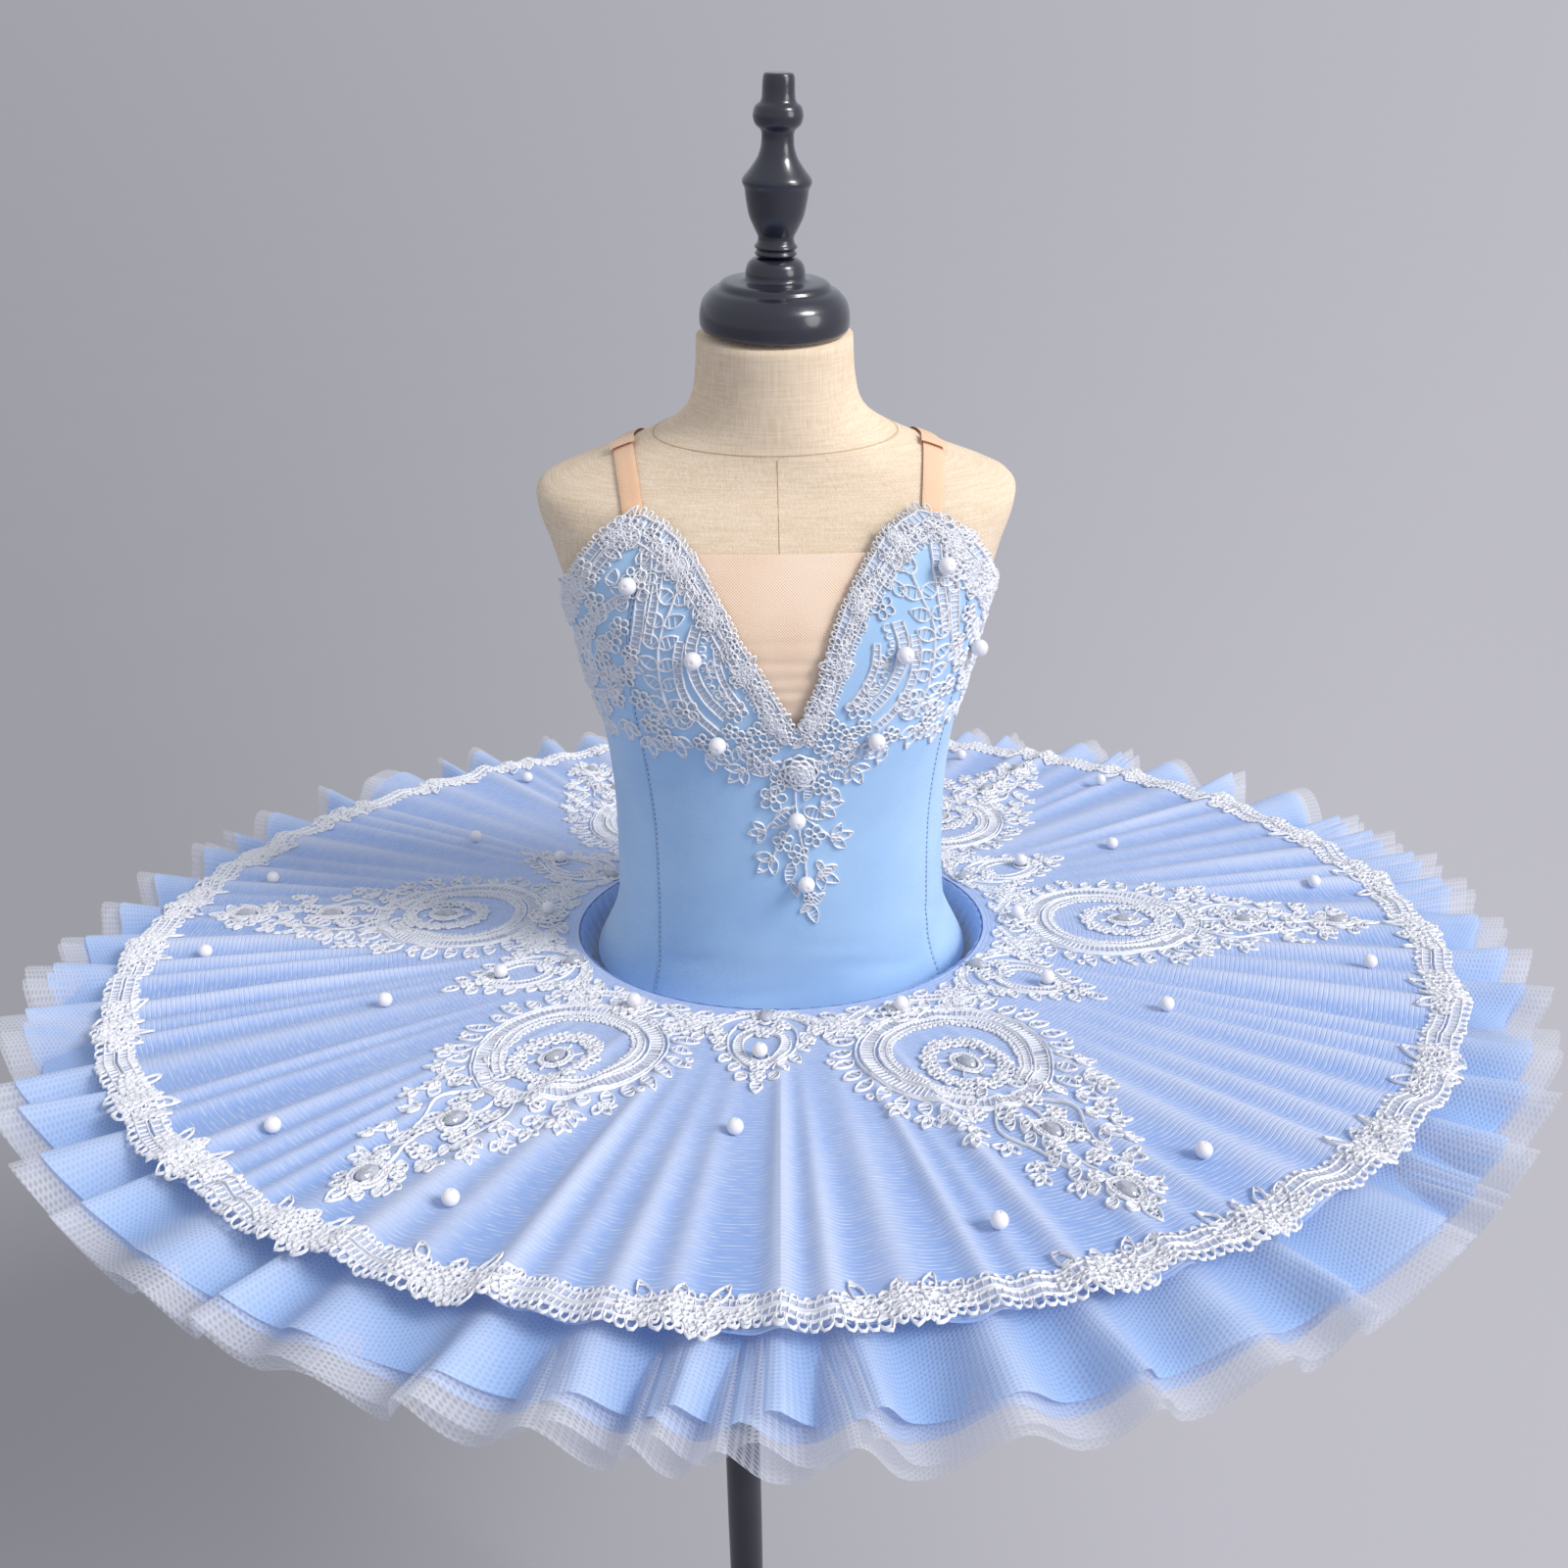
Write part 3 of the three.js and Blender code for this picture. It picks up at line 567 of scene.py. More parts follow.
# ---- cords, leaves and flowers of lace ----
class Lace:
    """Cords and net patches drawn on a flat plan in millimetres, laid on a surface at the end."""

    def __init__(self, lay, base=0.5):
        self.lay = lay
        self.base = base
        self.plans, self.outs, self.faces, self.picks = [], [], [], []
        self.count = 0

    def _add(self, plan, out, faces, pick):
        self.plans.append(plan)
        self.outs.append(out)
        self.faces.append(faces + self.count)
        self.picks.append(np.full(len(faces), pick))
        self.count += len(plan)

    def cord(self, points, half=0.55, lift=0.0, closed=False, height=1.0):
        """A raised cord along a line: two edges and the two sides of its crown at each point."""
        p = np.asarray(points, float)
        if closed:
            ahead, behind = np.roll(p, -1, 0), np.roll(p, 1, 0)
        else:
            ahead, behind = np.vstack([p[1:], p[-1:]]), np.vstack([p[:1], p[:-1]])
        along = ahead - behind
        along /= np.maximum(np.linalg.norm(along, axis=1, keepdims=True), 1e-6)
        aside = np.stack([-along[:, 1], along[:, 0]], 1) * half
        crown = self.base + lift + height * (1 + 0.15 * rng.standard_normal(len(p)))
        low = np.full(len(p), self.base + lift - 0.3)
        rail = [(p + aside, low), (p + aside * 0.4, crown), (p - aside * 0.4, crown),
                (p - aside, low)]
        plan = np.vstack([r[0] for r in rail])
        out = np.concatenate([r[1] for r in rail])
        n = len(p)
        i = np.arange(n if closed else n - 1)
        k = (i + 1) % n
        faces = [np.stack([i + s * n, k + s * n, k + (s + 1) * n, i + (s + 1) * n], 1)
                 for s in range(len(rail) - 1)]
        self._add(plan, out, np.vstack(faces), 0)

    def patch(self, outline, lift=0.0):
        """A piece of the lace's own net inside an outline."""
        p = np.asarray(outline, float)
        n = len(p)
        plan = np.vstack([p, p.mean(0)])
        i = np.arange(n)
        faces = np.stack([i, (i + 1) % n, np.full(n, n), np.full(n, n)], 1)
        self._add(plan, np.full(n + 1, self.base + lift + 0.1), faces, 1)

    def leaf(self, at, turn, length, width, hatch=3, lift=0.0, half=0.48, point=0.8):
        """A leaf from its stalk, with short bars across it. `turn` is in degrees."""
        t = np.linspace(0, 1, 7)
        side = width / 2 * np.sin(np.pi * t**point) ** 0.8
        outline = np.vstack([np.stack([t * length, side], 1),
                             np.stack([t * length, -side], 1)[-2:0:-1]])
        spin = turning(turn)
        outline = outline @ spin.T + at
        self.cord(outline, half, lift, closed=True)
        self.patch(outline, lift)
        for share in np.linspace(0.25, 0.8, hatch):
            across = width / 2 * math.sin(math.pi * share**point) ** 0.8
            bar = np.array([(share * length - 0.6, across), (share * length + 0.6, -across)])
            self.cord(bar @ spin.T + at, half * 0.55, lift, height=0.7)

    def flower(self, at, radius, petals=5, turn=0.0, lift=0.0, half=0.48):
        """Looped petals round a raised eye."""
        for k in range(petals):
            angle = turn + 360 * k / petals
            a = np.linspace(0, 2 * np.pi, 7, endpoint=False)
            loop = np.stack([radius * (0.58 + 0.42 * np.cos(a)),
                             radius * 0.36 * np.sin(a)], 1) @ turning(angle).T + at
            self.cord(loop, half, lift, closed=True)
            self.patch(loop, lift)
        self.ring(at, radius * 0.22, lift + 0.5)

    def ring(self, at, radius, lift=0.0, half=0.55, sides=7):
        a = np.linspace(0, 2 * np.pi, sides, endpoint=False)
        self.cord(np.stack([np.cos(a), np.sin(a)], 1) * radius + at, half, lift, closed=True)

    def ladder(self, path, width, pitch, closed=False, lift=0.0, half=0.52, net=True):
        """Two cords side by side with rungs between them."""
        p = smooth_path(path, pitch / 2, closed)
        aside = sideways(p, closed)
        one, two = p + aside * width / 2, p - aside * width / 2
        self.cord(one, half, lift, closed)
        self.cord(two, half, lift, closed)
        for k in range(0, len(p) - 1, 2):
            self.cord(np.array([one[k], two[k]]), half * 0.6, lift, height=0.7)
        if net:
            n = len(p)
            i = np.arange(n if closed else n - 1)
            k = (i + 1) % n
            self._add(np.vstack([one, two]), np.full(2 * n, self.base + lift + 0.1),
                      np.stack([i, k, k + n, i + n], 1), 1)

    def picots(self, path, radius, pitch, side=1.0, lift=0.0, half=0.45, closed=False):
        """Little open loops along one side of a path."""
        p = smooth_path(path, pitch, closed)
        aside = sideways(p, closed) * side
        for k in range(len(p)):
            size = radius * rng.uniform(0.75, 1.2)
            a = np.linspace(-2.2, 2.2, 6)
            along = np.array([-aside[k, 1], aside[k, 0]])
            loop = (p[k] + np.outer(np.cos(a) * size + size * 0.6, aside[k])
                    + np.outer(np.sin(a) * size * 0.8, along))
            self.cord(loop, half, lift)

    def stem(self, path, lift=0.0, half=0.7):
        self.cord(smooth_path(path, 2.5), half, lift)

    def sprig(self, at, turn, size, lift=0.0):
        """Three leaves from one point."""
        for spread, length in ((-52, 0.9), (0, 1.1), (52, 0.9)):
            self.leaf(np.asarray(at), turn + spread, size * length, size * 0.5, 2, lift)
        self.ring(at, size * 0.12, lift + 0.4)

    def leaves(self, rows, width, hatch=3, side=1):
        """Leaves from rows of x, y, turn and length, mirrored for the other side."""
        for x, y, lean, length in rows:
            self.leaf((x, side * y), side * lean, length, width, hatch)

    def blossoms(self, rows, lift):
        """Five-petalled flowers from rows of x, y and radius, each turned at random."""
        for x, y, radius in rows:
            self.flower((x, y), radius, 5, rng.uniform(0, 72), lift)

    def sprigs(self, rows):
        for x, y, lean, size in rows:
            self.sprig((x, y), lean, size)

    def piece(self, name):
        """The finished lace, which stands for the solid of the same name."""
        plan = np.vstack(self.plans)
        plan = plan + 0.12 * rng.standard_normal(plan.shape)
        points = self.lay(plan, np.concatenate(self.outs))
        return add_piece(name, points, np.vstack(self.faces), [LACE, LACE_GROUND],
                         [name], picks=np.concatenate(self.picks))


def turning(degrees):
    c, s = math.cos(math.radians(degrees)), math.sin(math.radians(degrees))
    return np.array([(c, -s), (s, c)])


def sideways(p, closed=False):
    """The unit way to the left of a path at each of its points."""
    if closed:
        along = np.roll(p, -1, 0) - np.roll(p, 1, 0)
    else:
        along = np.vstack([p[1:], p[-1:]]) - np.vstack([p[:1], p[:-1]])
    along /= np.maximum(np.linalg.norm(along, axis=1, keepdims=True), 1e-6)
    return np.stack([-along[:, 1], along[:, 0]], 1)


def smooth_path(path, pitch, closed=False):
    """Points every `pitch` along a soft curve through the given ones."""
    p = np.asarray(path, float)
    if closed:
        ring = np.vstack([p[-1:], p, p[:2]])
    else:
        ring = np.vstack([2 * p[0] - p[1], p, 2 * p[-1] - p[-2]])
    fine = []
    for a, b, c, d in zip(ring, ring[1:], ring[2:], ring[3:]):
        for t in np.linspace(0, 1, 9)[:-1]:
            fine.append(0.5 * (2 * b + (c - a) * t + (2 * a - 5 * b + 4 * c - d) * t**2
                               + (3 * b - a - 3 * c + d) * t**3))
    fine.append(p[0] if closed else p[-1])
    fine = np.array(fine)
    length = np.concatenate([[0], np.cumsum(np.linalg.norm(np.diff(fine, axis=0), axis=1))])
    count = max(3, int(round(length[-1] / pitch)) + 1)
    at = np.linspace(0, length[-1], count)
    result = np.stack([np.interp(at, length, fine[:, 0]), np.interp(at, length, fine[:, 1])], 1)
    return result[:-1] if closed else result


# ---- pearls and gems ----
def pearl_shape(radius):
    """A bead as a turned body with a small dimple at its hole."""
    angle = np.linspace(0.16, np.pi, 10)
    outline = [(0.0, 0.88), (0.1, 0.93)] + [(math.sin(a), math.cos(a)) for a in angle]
    points, faces = lathe(np.array(outline) * radius, 20)
    return points, faces


def gem_shape(length, width, height):
    """An oval stone: a flat table, a crown of facets and a girdle."""
    angle = np.linspace(0, 2 * np.pi, 12, endpoint=False)
    rings = [(0.0, 1.0, 0.0), (0.5, 1.0, 0.0), (0.86, 0.55, 0.26), (1.0, 0.15, 0.0),
             (1.0, -0.2, 0.0)]
    points = []
    for size, level, turn in rings:
        points.append(np.stack([np.cos(angle + turn) * size * length / 2,
                                np.sin(angle + turn) * size * width / 2,
                                np.full(12, level * height)], 1))
    return np.vstack(points), grid_faces(12, len(rings) - 1, around=True)


def set_stones(name, shape, spots, material, smooth):
    """One joined mesh of a shape set at spots: (centre, up, along) rows in the row frame."""
    points, faces = shape
    all_points, all_faces = [], []
    for centre, up, along in spots:
        up = up / np.linalg.norm(up)
        aside = np.cross(up, along)
        aside /= np.linalg.norm(aside)
        axes = np.stack([np.cross(aside, up), aside, up], 1)
        all_faces.append(faces + len(points) * len(all_points))
        all_points.append(points @ axes.T + centre)
    return add_piece(name, np.vstack(all_points), np.vstack(all_faces), [material],
                     smooth=smooth)


# ---- bodice ----
def top_edge(azimuth):
    """Height of the bodice's upper edge."""
    return np.interp((np.asarray(azimuth) + 180) % 360 - 180, TOP_EDGE[:, 0], TOP_EDGE[:, 1])


def hem_height(azimuth):
    """Height of the bodice's hem, which follows part of the skirt's tilt."""
    p = form_point(azimuth, -HEM_DROP)
    return -HEM_TILT * p[..., 1] * math.tan(math.radians(SKIRT_TILT)) - HEM_DROP


# azimuth, height, turn, length, depth of the bodice's soft creases
CREASES = np.array([
    (-36, 22, 18, 60, 0.7), (-12, 6, 8, 70, 0.6), (40, 16, -14, 64, 0.7), (66, 34, -30, 44, 0.8),
    (20, 38, -6, 50, 0.4), (-60, 46, 24, 46, 0.7), (-92, 30, 10, 60, 0.9), (-130, 24, -8, 80, 1.0),
    (-160, 52, 12, 60, 0.8), (150, 20, 9, 80, 1.0), (118, 44, -12, 60, 0.9), (94, 20, 16, 50, 0.7),
    (-78, 150, 62, 50, 0.7), (80, 152, -60, 50, 0.7), (178, 90, 4, 60, 0.7),
])
CREASE_REACH = 4.5


def bodice_creases(azimuth, height):
    """How far the cloth sinks into its creases: long narrow troughs."""
    sink = np.zeros(np.broadcast(azimuth, height).shape)
    for at, level, turn, length, depth in CREASES:
        x = ((np.asarray(azimuth) - at + 180) % 360 - 180) * MM_PER_DEGREE
        z = np.asarray(height) - level
        c, s = math.cos(math.radians(turn)), math.sin(math.radians(turn))
        along, across = c * x + s * z, -s * x + c * z
        sink += depth * np.exp(-((along / (length / 2)) ** 2) - (across / CREASE_REACH) ** 2)
    return sink


def bodice_point(azimuth, height, out):
    """A point of the bodice: off the form, flared at its hem, sunk into its creases."""
    above = (height - hem_height(azimuth)) / 34
    flare = HEM_FLARE * np.maximum(0, 1 - above) ** 2
    return form_point(azimuth, height, out + flare - bodice_creases(azimuth, height))


PRINCESS = 55.0
SIDE_SEAM = 97.0
# name, from, to, flat width, flat length
PANELS = [
    ("bodice_front_centre", -PRINCESS, PRINCESS, 0.190, 0.315),
    ("bodice_side_front_left", -SIDE_SEAM, -PRINCESS, 0.085, 0.325),
    ("bodice_side_front_right", PRINCESS, SIDE_SEAM, 0.085, 0.325),
    ("bodice_back_left", -180.0, -SIDE_SEAM, 0.150, 0.260),
    ("bodice_back_right", SIDE_SEAM, 180.0, 0.150, 0.260),
]


def bodice_panel(name, start, end):
    columns, rows = max(12, int((end - start) / 1.2)), 110
    u, v = grid(columns, rows)
    azimuth = blend(start + TWIST + 0.06, end + TWIST - 0.06, u)
    height = blend(hem_height(azimuth), top_edge(azimuth), v)
    seam = np.minimum(u, 1 - u) * (end - start) * SEAM_MM_PER_DEGREE
    tuck = 0.3 * np.exp(-((seam / 1.6) ** 2))
    points = on_form(bodice_point(azimuth, height, BODICE_OUT - tuck))
    return add_piece(name, points, grid_faces(columns, rows), [BODICE], [name])


bodice_pieces = [bodice_panel(name, start, end) for name, start, end, _, _ in PANELS]


def stitch_piece():
    """The dashed topstitch beside the front seams, one small raised dash for each stitch."""
    points, faces = [], []
    dash, pitch, half = 1.9, 3.4, 0.28
    for azimuth in (-PRINCESS + TWIST + 0.9, PRINCESS + TWIST - 0.9):
        top = top_edge(azimuth) - 24
        for level in np.arange(hem_height(azimuth) + 3, top, pitch):
            corners = []
            for step in (0.0, dash):
                for aside, out in ((-half, 0.05), (0.0, 0.5), (half, 0.05)):
                    corners.append(bodice_point(azimuth + aside / SEAM_MM_PER_DEGREE,
                                                level + step, BODICE_OUT + out))
            base = len(points) * 6
            points.append(np.array(corners))
            faces.append(np.array([(0, 1, 4, 3), (1, 2, 5, 4)]) + base)
    return add_piece("princess_stitches", on_form(np.vstack(points)), np.vstack(faces),
                     [STITCH])


stitches = stitch_piece()


MODESTY_HALF_TURN = 48
MODESTY_LOW, MODESTY_TOP = 168, 274
# height in the middle, rise to the right, depth of the panel's soft gathers
GATHERS = [(188, 2, 0.5), (196, -3, 0.6), (205, 1, 0.7), (213, 3, 0.5), (221, -2, 0.6),
           (232, 1, 0.3), (199, 6, 0.4)]


def modesty_panel():
    """The nude panel behind the V, narrower towards its foot, with a turned upper hem."""
    columns, rows = 72, 90
    u, v = grid(columns, rows)
    azimuth = V_AZIMUTH + MODESTY_HALF_TURN * (2 * u - 1) * blend(0.55, 1, v)
    height = blend(MODESTY_LOW, MODESTY_TOP, v)
    gather = np.zeros(len(u))
    for level, rise, depth in GATHERS:
        line = level + rise * (u - 0.5) * 2
        gather += depth * np.exp(-(((height - line) / 2.2) ** 2))
    hem = 0.35 * np.exp(-(((v - 1) / 0.03) ** 2))
    points = on_form(form_point(azimuth, height, LINER_OUT + 1.0 - gather * 0.8 + hem))
    return add_piece("modesty_panel", points, grid_faces(columns, rows), [NUDE_MESH],
                     ["modesty_panel"])


modesty = modesty_panel()


SHOULDER_LEVEL, NECK_LEVEL = 291.0, 325.0
STRAP_FRONT_X, STRAP_TOP_X = {-1: 74.0, 1: 82.0}, {-1: 84.0, 1: 86.0}
STRAP_BACK_X = 62.0
STRAP_FRONT_LEVEL, STRAP_BACK_LEVEL = 280.0, 190.0


def shoulder_top(x):
    """Height of the shoulder's ridge, found by halving."""
    low, high = np.full(x.shape, SHOULDER_LEVEL), np.full(x.shape, NECK_LEVEL)
    for _ in range(30):
        middle = (low + high) / 2
        wide = read_sections(middle, HALF_WIDTH) > np.abs(x)
        low, high = np.where(wide, middle, low), np.where(wide, high, middle)
    return low


def strap_point(side, along, across, out):
    """A point of a strap, whose `along` runs from the cusp over the shoulder to the back."""
    on_back = along > 0.5
    rise = np.where(on_back, 1 - along, along) * 2
    end_x = np.where(on_back, STRAP_BACK_X, STRAP_FRONT_X[side])
    end_z = np.where(on_back, STRAP_BACK_LEVEL, STRAP_FRONT_LEVEL)
    x = side * blend(end_x, STRAP_TOP_X[side], rise) + across
    z = blend(end_z, shoulder_top(x) - 0.01, np.sin(rise * np.pi / 2))
    depth = np.where(on_back, read_sections(z, BACK), read_sections(z, FRONT))
    square = read_sections(z, SQUARE)
    inside = np.maximum(0, 1 - (np.abs(x) / read_sections(z, HALF_WIDTH)) ** square)
    y = depth * inside ** (1 / square)
    p = np.stack([x, np.where(on_back, y, -y), z], -1)
    return p + outward(p) * out[..., None]


def strap_piece(name, side, start, end, width, out, nodes):
    columns, rows = 10, 90
    u, v = grid(columns, rows)
    edge = np.abs(u - 0.5) * 2
    crown = out + 0.45 * (1 - edge**4)
    points = on_form(strap_point(side, blend(start, end, v), (u - 0.5) * width, crown))
    return add_piece(name, points, grid_faces(columns, rows), [STRAP], nodes)


for label, side in (("left", -1), ("right", 1)):
    strap_piece(f"strap_{label}", side, 0, 1, 11, 1.5, [f"strap_{label}"])
    strap_piece(f"strap_fold_{label}", side, 0.42, 0.5, 14, 3.0,
                                          [f"strap_fold_{label}"])


# ---- basque ----
def hip_point(azimuth, depth, out):
    """A point of the form's hips, at a depth under the skirt plate in its axes."""
    height = -depth + 0.0 * azimuth
    for _ in range(14):
        p = form_point(azimuth, height, 5.0 + out) @ SKIRT_AXES
        height = height - depth - p[..., 2]
    return p


def basque_point(azimuth, depth, out):
    """A point of the gathered funnel, or of the yoke below it on the hips."""
    rim = polar(RIM_R - 0.8, azimuth, 0.0 * depth)
    share = (np.clip(depth, 0, BASQUE_DEPTH) / BASQUE_DEPTH) ** 1.4
    funnel = blend(rim, hip_point(azimuth, np.full(depth.shape, BASQUE_DEPTH), 0.0),
                   share[..., None])
    funnel[..., 2] = -depth
    flat = np.linalg.norm(funnel[..., :2], axis=-1)
    funnel[..., :2] *= (1 + out / flat)[..., None]
    low = depth > BASQUE_DEPTH
    return np.where(low[..., None], hip_point(azimuth, depth, out), funnel)


def basque_piece():
    columns, rows = 400, 20
    u, v = grid(columns, rows)
    azimuth = u * 360
    depth = v * YOKE_DEPTH
    drift = 4 * np.sin(np.radians(azimuth * 3)) + 3 * np.sin(np.radians(azimuth * 7 + 40))
    gather = np.sin(np.radians(azimuth * 66 + drift * 20))
    fade = ease(1.15 - np.abs(depth - 22) / 30)
    points = basque_point(azimuth, depth, -0.6 + 1.0 * gather * fade)
    # The third value, the fold height, makes the gathers' crests paler and their troughs darker in
    # the net's colour: painted light and shade.
    cloth = np.stack([azimuth * 2.2, depth, gather * fade * 0.6], 1)
    return add_piece("basque", on_skirt(points), grid_faces(columns, rows), [BASQUE],
                     ["basque"], cloth)


basque = basque_piece()

# ---- skirt ----
FOLDS = 82


def fold_table():
    """Soft ridges of the top net: azimuth, height, half width in degrees, where each starts."""
    gaps = rng.uniform(0.55, 1.45, FOLDS)
    azimuth = np.cumsum(gaps) / gaps.sum() * 360
    half = 0.36 * 360 / FOLDS * np.minimum(gaps, np.roll(gaps, -1))
    return np.stack([azimuth, rng.uniform(2.2, 5.6, FOLDS) * np.sqrt(gaps), half,
                     rng.uniform(110, 190, FOLDS)], 1)


FOLD_ROWS = fold_table()


def overlay_height(radius, azimuth):
    """Height of the top net over the skirt plate."""
    height = np.zeros(np.broadcast(radius, azimuth).shape)
    for at, rise, half, start in FOLD_ROWS:
        away = (azimuth - at + 180) % 360 - 180
        grow = ease((radius - start) / 200)
        height += rise * grow * np.exp(-((away / half) ** 2))
    return height - 2.2 * ease((radius - 140) / 260)


def skirt_point(radius, azimuth, out):
    return polar(radius, azimuth, overlay_height(radius, azimuth) + out)


def top_net():
    """The glitter net: 82 uneven soft ridges, drooping a little beyond its braid."""
    columns, rows = 984, 36
    u, v = grid(columns, rows)
    azimuth = u * 360
    radius = blend(RIM_R, OVERLAY_R, v)
    height = overlay_height(radius, azimuth)
    droop = -2.5 * ease((radius - BRAID_R) / 12) * (1 + np.cos(np.radians(azimuth * 31)))
    points = polar(radius, azimuth, height + droop)
    # The third value, the ridge height, makes the ridges paler and the hollows darker in the net's
    # colour: painted light and shade.
    cloth = np.stack([np.radians(azimuth) * 270, radius, height / 3.6], 1)
    return add_piece("skirt_top_net", on_skirt(points), grid_faces(columns, rows), [GLITTER],
                     ["skirt_top_net"], cloth)


top = top_net()

# name, radius, inner, drop, pleats, turn, amplitude, material, slot
NETS = [
    ("skirt_net_blue_upper", 442, 4, 6, 54, 0.0, 11.0, BLUE_NET, "blue_net"),
    ("skirt_net_white_upper", 457, 9, 8, 54, 0.15, 11.5, WHITE_NET, "white_net"),
    ("skirt_net_blue_lower", 443, 14, 11, 54, 0.3, 12.0, BLUE_NET, "blue_net"),
    ("skirt_net_white_lower", 456, 19, 14, 54, 0.5, 12.5, WHITE_NET, "white_net"),
]
FRONT_DROOP = 9.0


def pleat_wave(azimuth, pleats, turn):
    """An uneven pleat wave, -1 to 1, with rounded crests and tighter valleys."""
    a = np.radians(azimuth)
    drift = (0.9 * np.sin(3 * a + turn) + 0.7 * np.sin(7 * a + 2.3 * turn)
             + 0.5 * np.sin(13 * a + 0.7 + turn) + 0.4 * np.sin(23 * a + 1.9 * turn))
    wave = np.cos(pleats * a + turn + 1.6 * drift)
    size = 0.78 + 0.22 * np.sin(5 * a + turn) * np.sin(11 * a + 2 * turn)
    return (wave + 0.22 * (wave * wave - 0.5)) * size


def net_piece(name, radius, inner, drop, pleats, turn, amplitude, material, slot):
    """One pleated net, from the funnel out to its ruffled edge."""
    columns, rows = 864, 18
    u, v = grid(columns, rows)
    azimuth = u * 360
    wave = pleat_wave(azimuth, pleats, turn)
    start = basque_point(azimuth, np.full(azimuth.shape, float(inner)), 0.7)
    start_radius = np.linalg.norm(start[:, :2], axis=1)
    edge = radius + 7 * wave + 4 * np.sin(np.radians(azimuth * 4 + 50 * turn))
    r = blend(start_radius, edge, v)
    reach = np.clip((r - 100) / 366, 0, 1.1)
    fall = blend(inner, drop, np.clip((r - RIM_R) / (FRILL_R - RIM_R), 0, 1))
    front = np.maximum(0, np.cos(np.radians(azimuth)))
    lip = ease((r - 385) / 80)
    height = (amplitude * (0.4 * reach + 0.9 * lip) * wave - fall
              - FRONT_DROOP * reach * front**2 * v - 5 * lip * (0.5 + 0.8 * front))
    twist = 0.9 * lip * np.sin(np.radians(azimuth * (pleats // 2)) + turn)
    points = polar(r, azimuth + twist, height)
    # The third value, the pleat height, makes the pleats' crests paler and their troughs darker in
    # the net's colour: painted light and shade.
    cloth = np.stack([np.radians(azimuth) * 420, r, wave * 0.55], 1)
    return add_piece(name, on_skirt(points), grid_faces(columns, rows), [material],
                     [name], cloth)


nets = [net_piece(*row) for row in NETS]


# ---- lace on the skirt ----
def lay_on_skirt(turn):
    """A plan whose x runs outwards from the waist's centre at one azimuth."""
    def lay(plan, out):
        radius = np.hypot(plan[:, 0], plan[:, 1])
        azimuth = turn + np.degrees(np.arctan2(plan[:, 1], plan[:, 0]))
        return on_skirt(skirt_point(radius, azimuth, out))
    return lay


def egg(grow, count=40, start=0.0, end=360.0):
    """The motif's oval, with its broad end towards the waist."""
    t = np.radians(np.linspace(start, end, count, endpoint=end - start < 360))
    return np.stack([212 + (50 + grow) * np.cos(t),
                     (45 + grow) * np.sin(t) * (1 - 0.14 * np.cos(t))], 1)


# x, y, turn, size of the sprigs along a large motif's tail
TAIL_SPRIGS = [
    (272, 34, 38, 11), (290, 26, 48, 10), (308, 22, 26, 11), (330, 18, 34, 10),
    (276, -32, -34, 11), (296, -25, -48, 10), (316, -22, -24, 10), (340, -15, -36, 9),
    (352, 14, 24, 9), (262, 46, 52, 10), (258, -46, -50, 10), (284, 38, 20, 10),
    (262, -36, -20, 10), (300, 34, 60, 9), (286, -38, -30, 9), (326, -26, -60, 8),
    (318, 28, 60, 8), (246, 52, 70, 10), (244, -54, -66, 10), (272, 48, 30, 9),
]
TAIL_FLOWERS = [
    (268, 8, 6), (274, -10, 6.5), (284, 12, 5.5), (286, -6, 5), (306, 8, 6), (312, -8, 6),
    (326, 4, 5.5), (340, -6, 5), (344, 8, 5), (366, 2, 4.5), (266, -24, 5.5), (264, 24, 5.5),
]


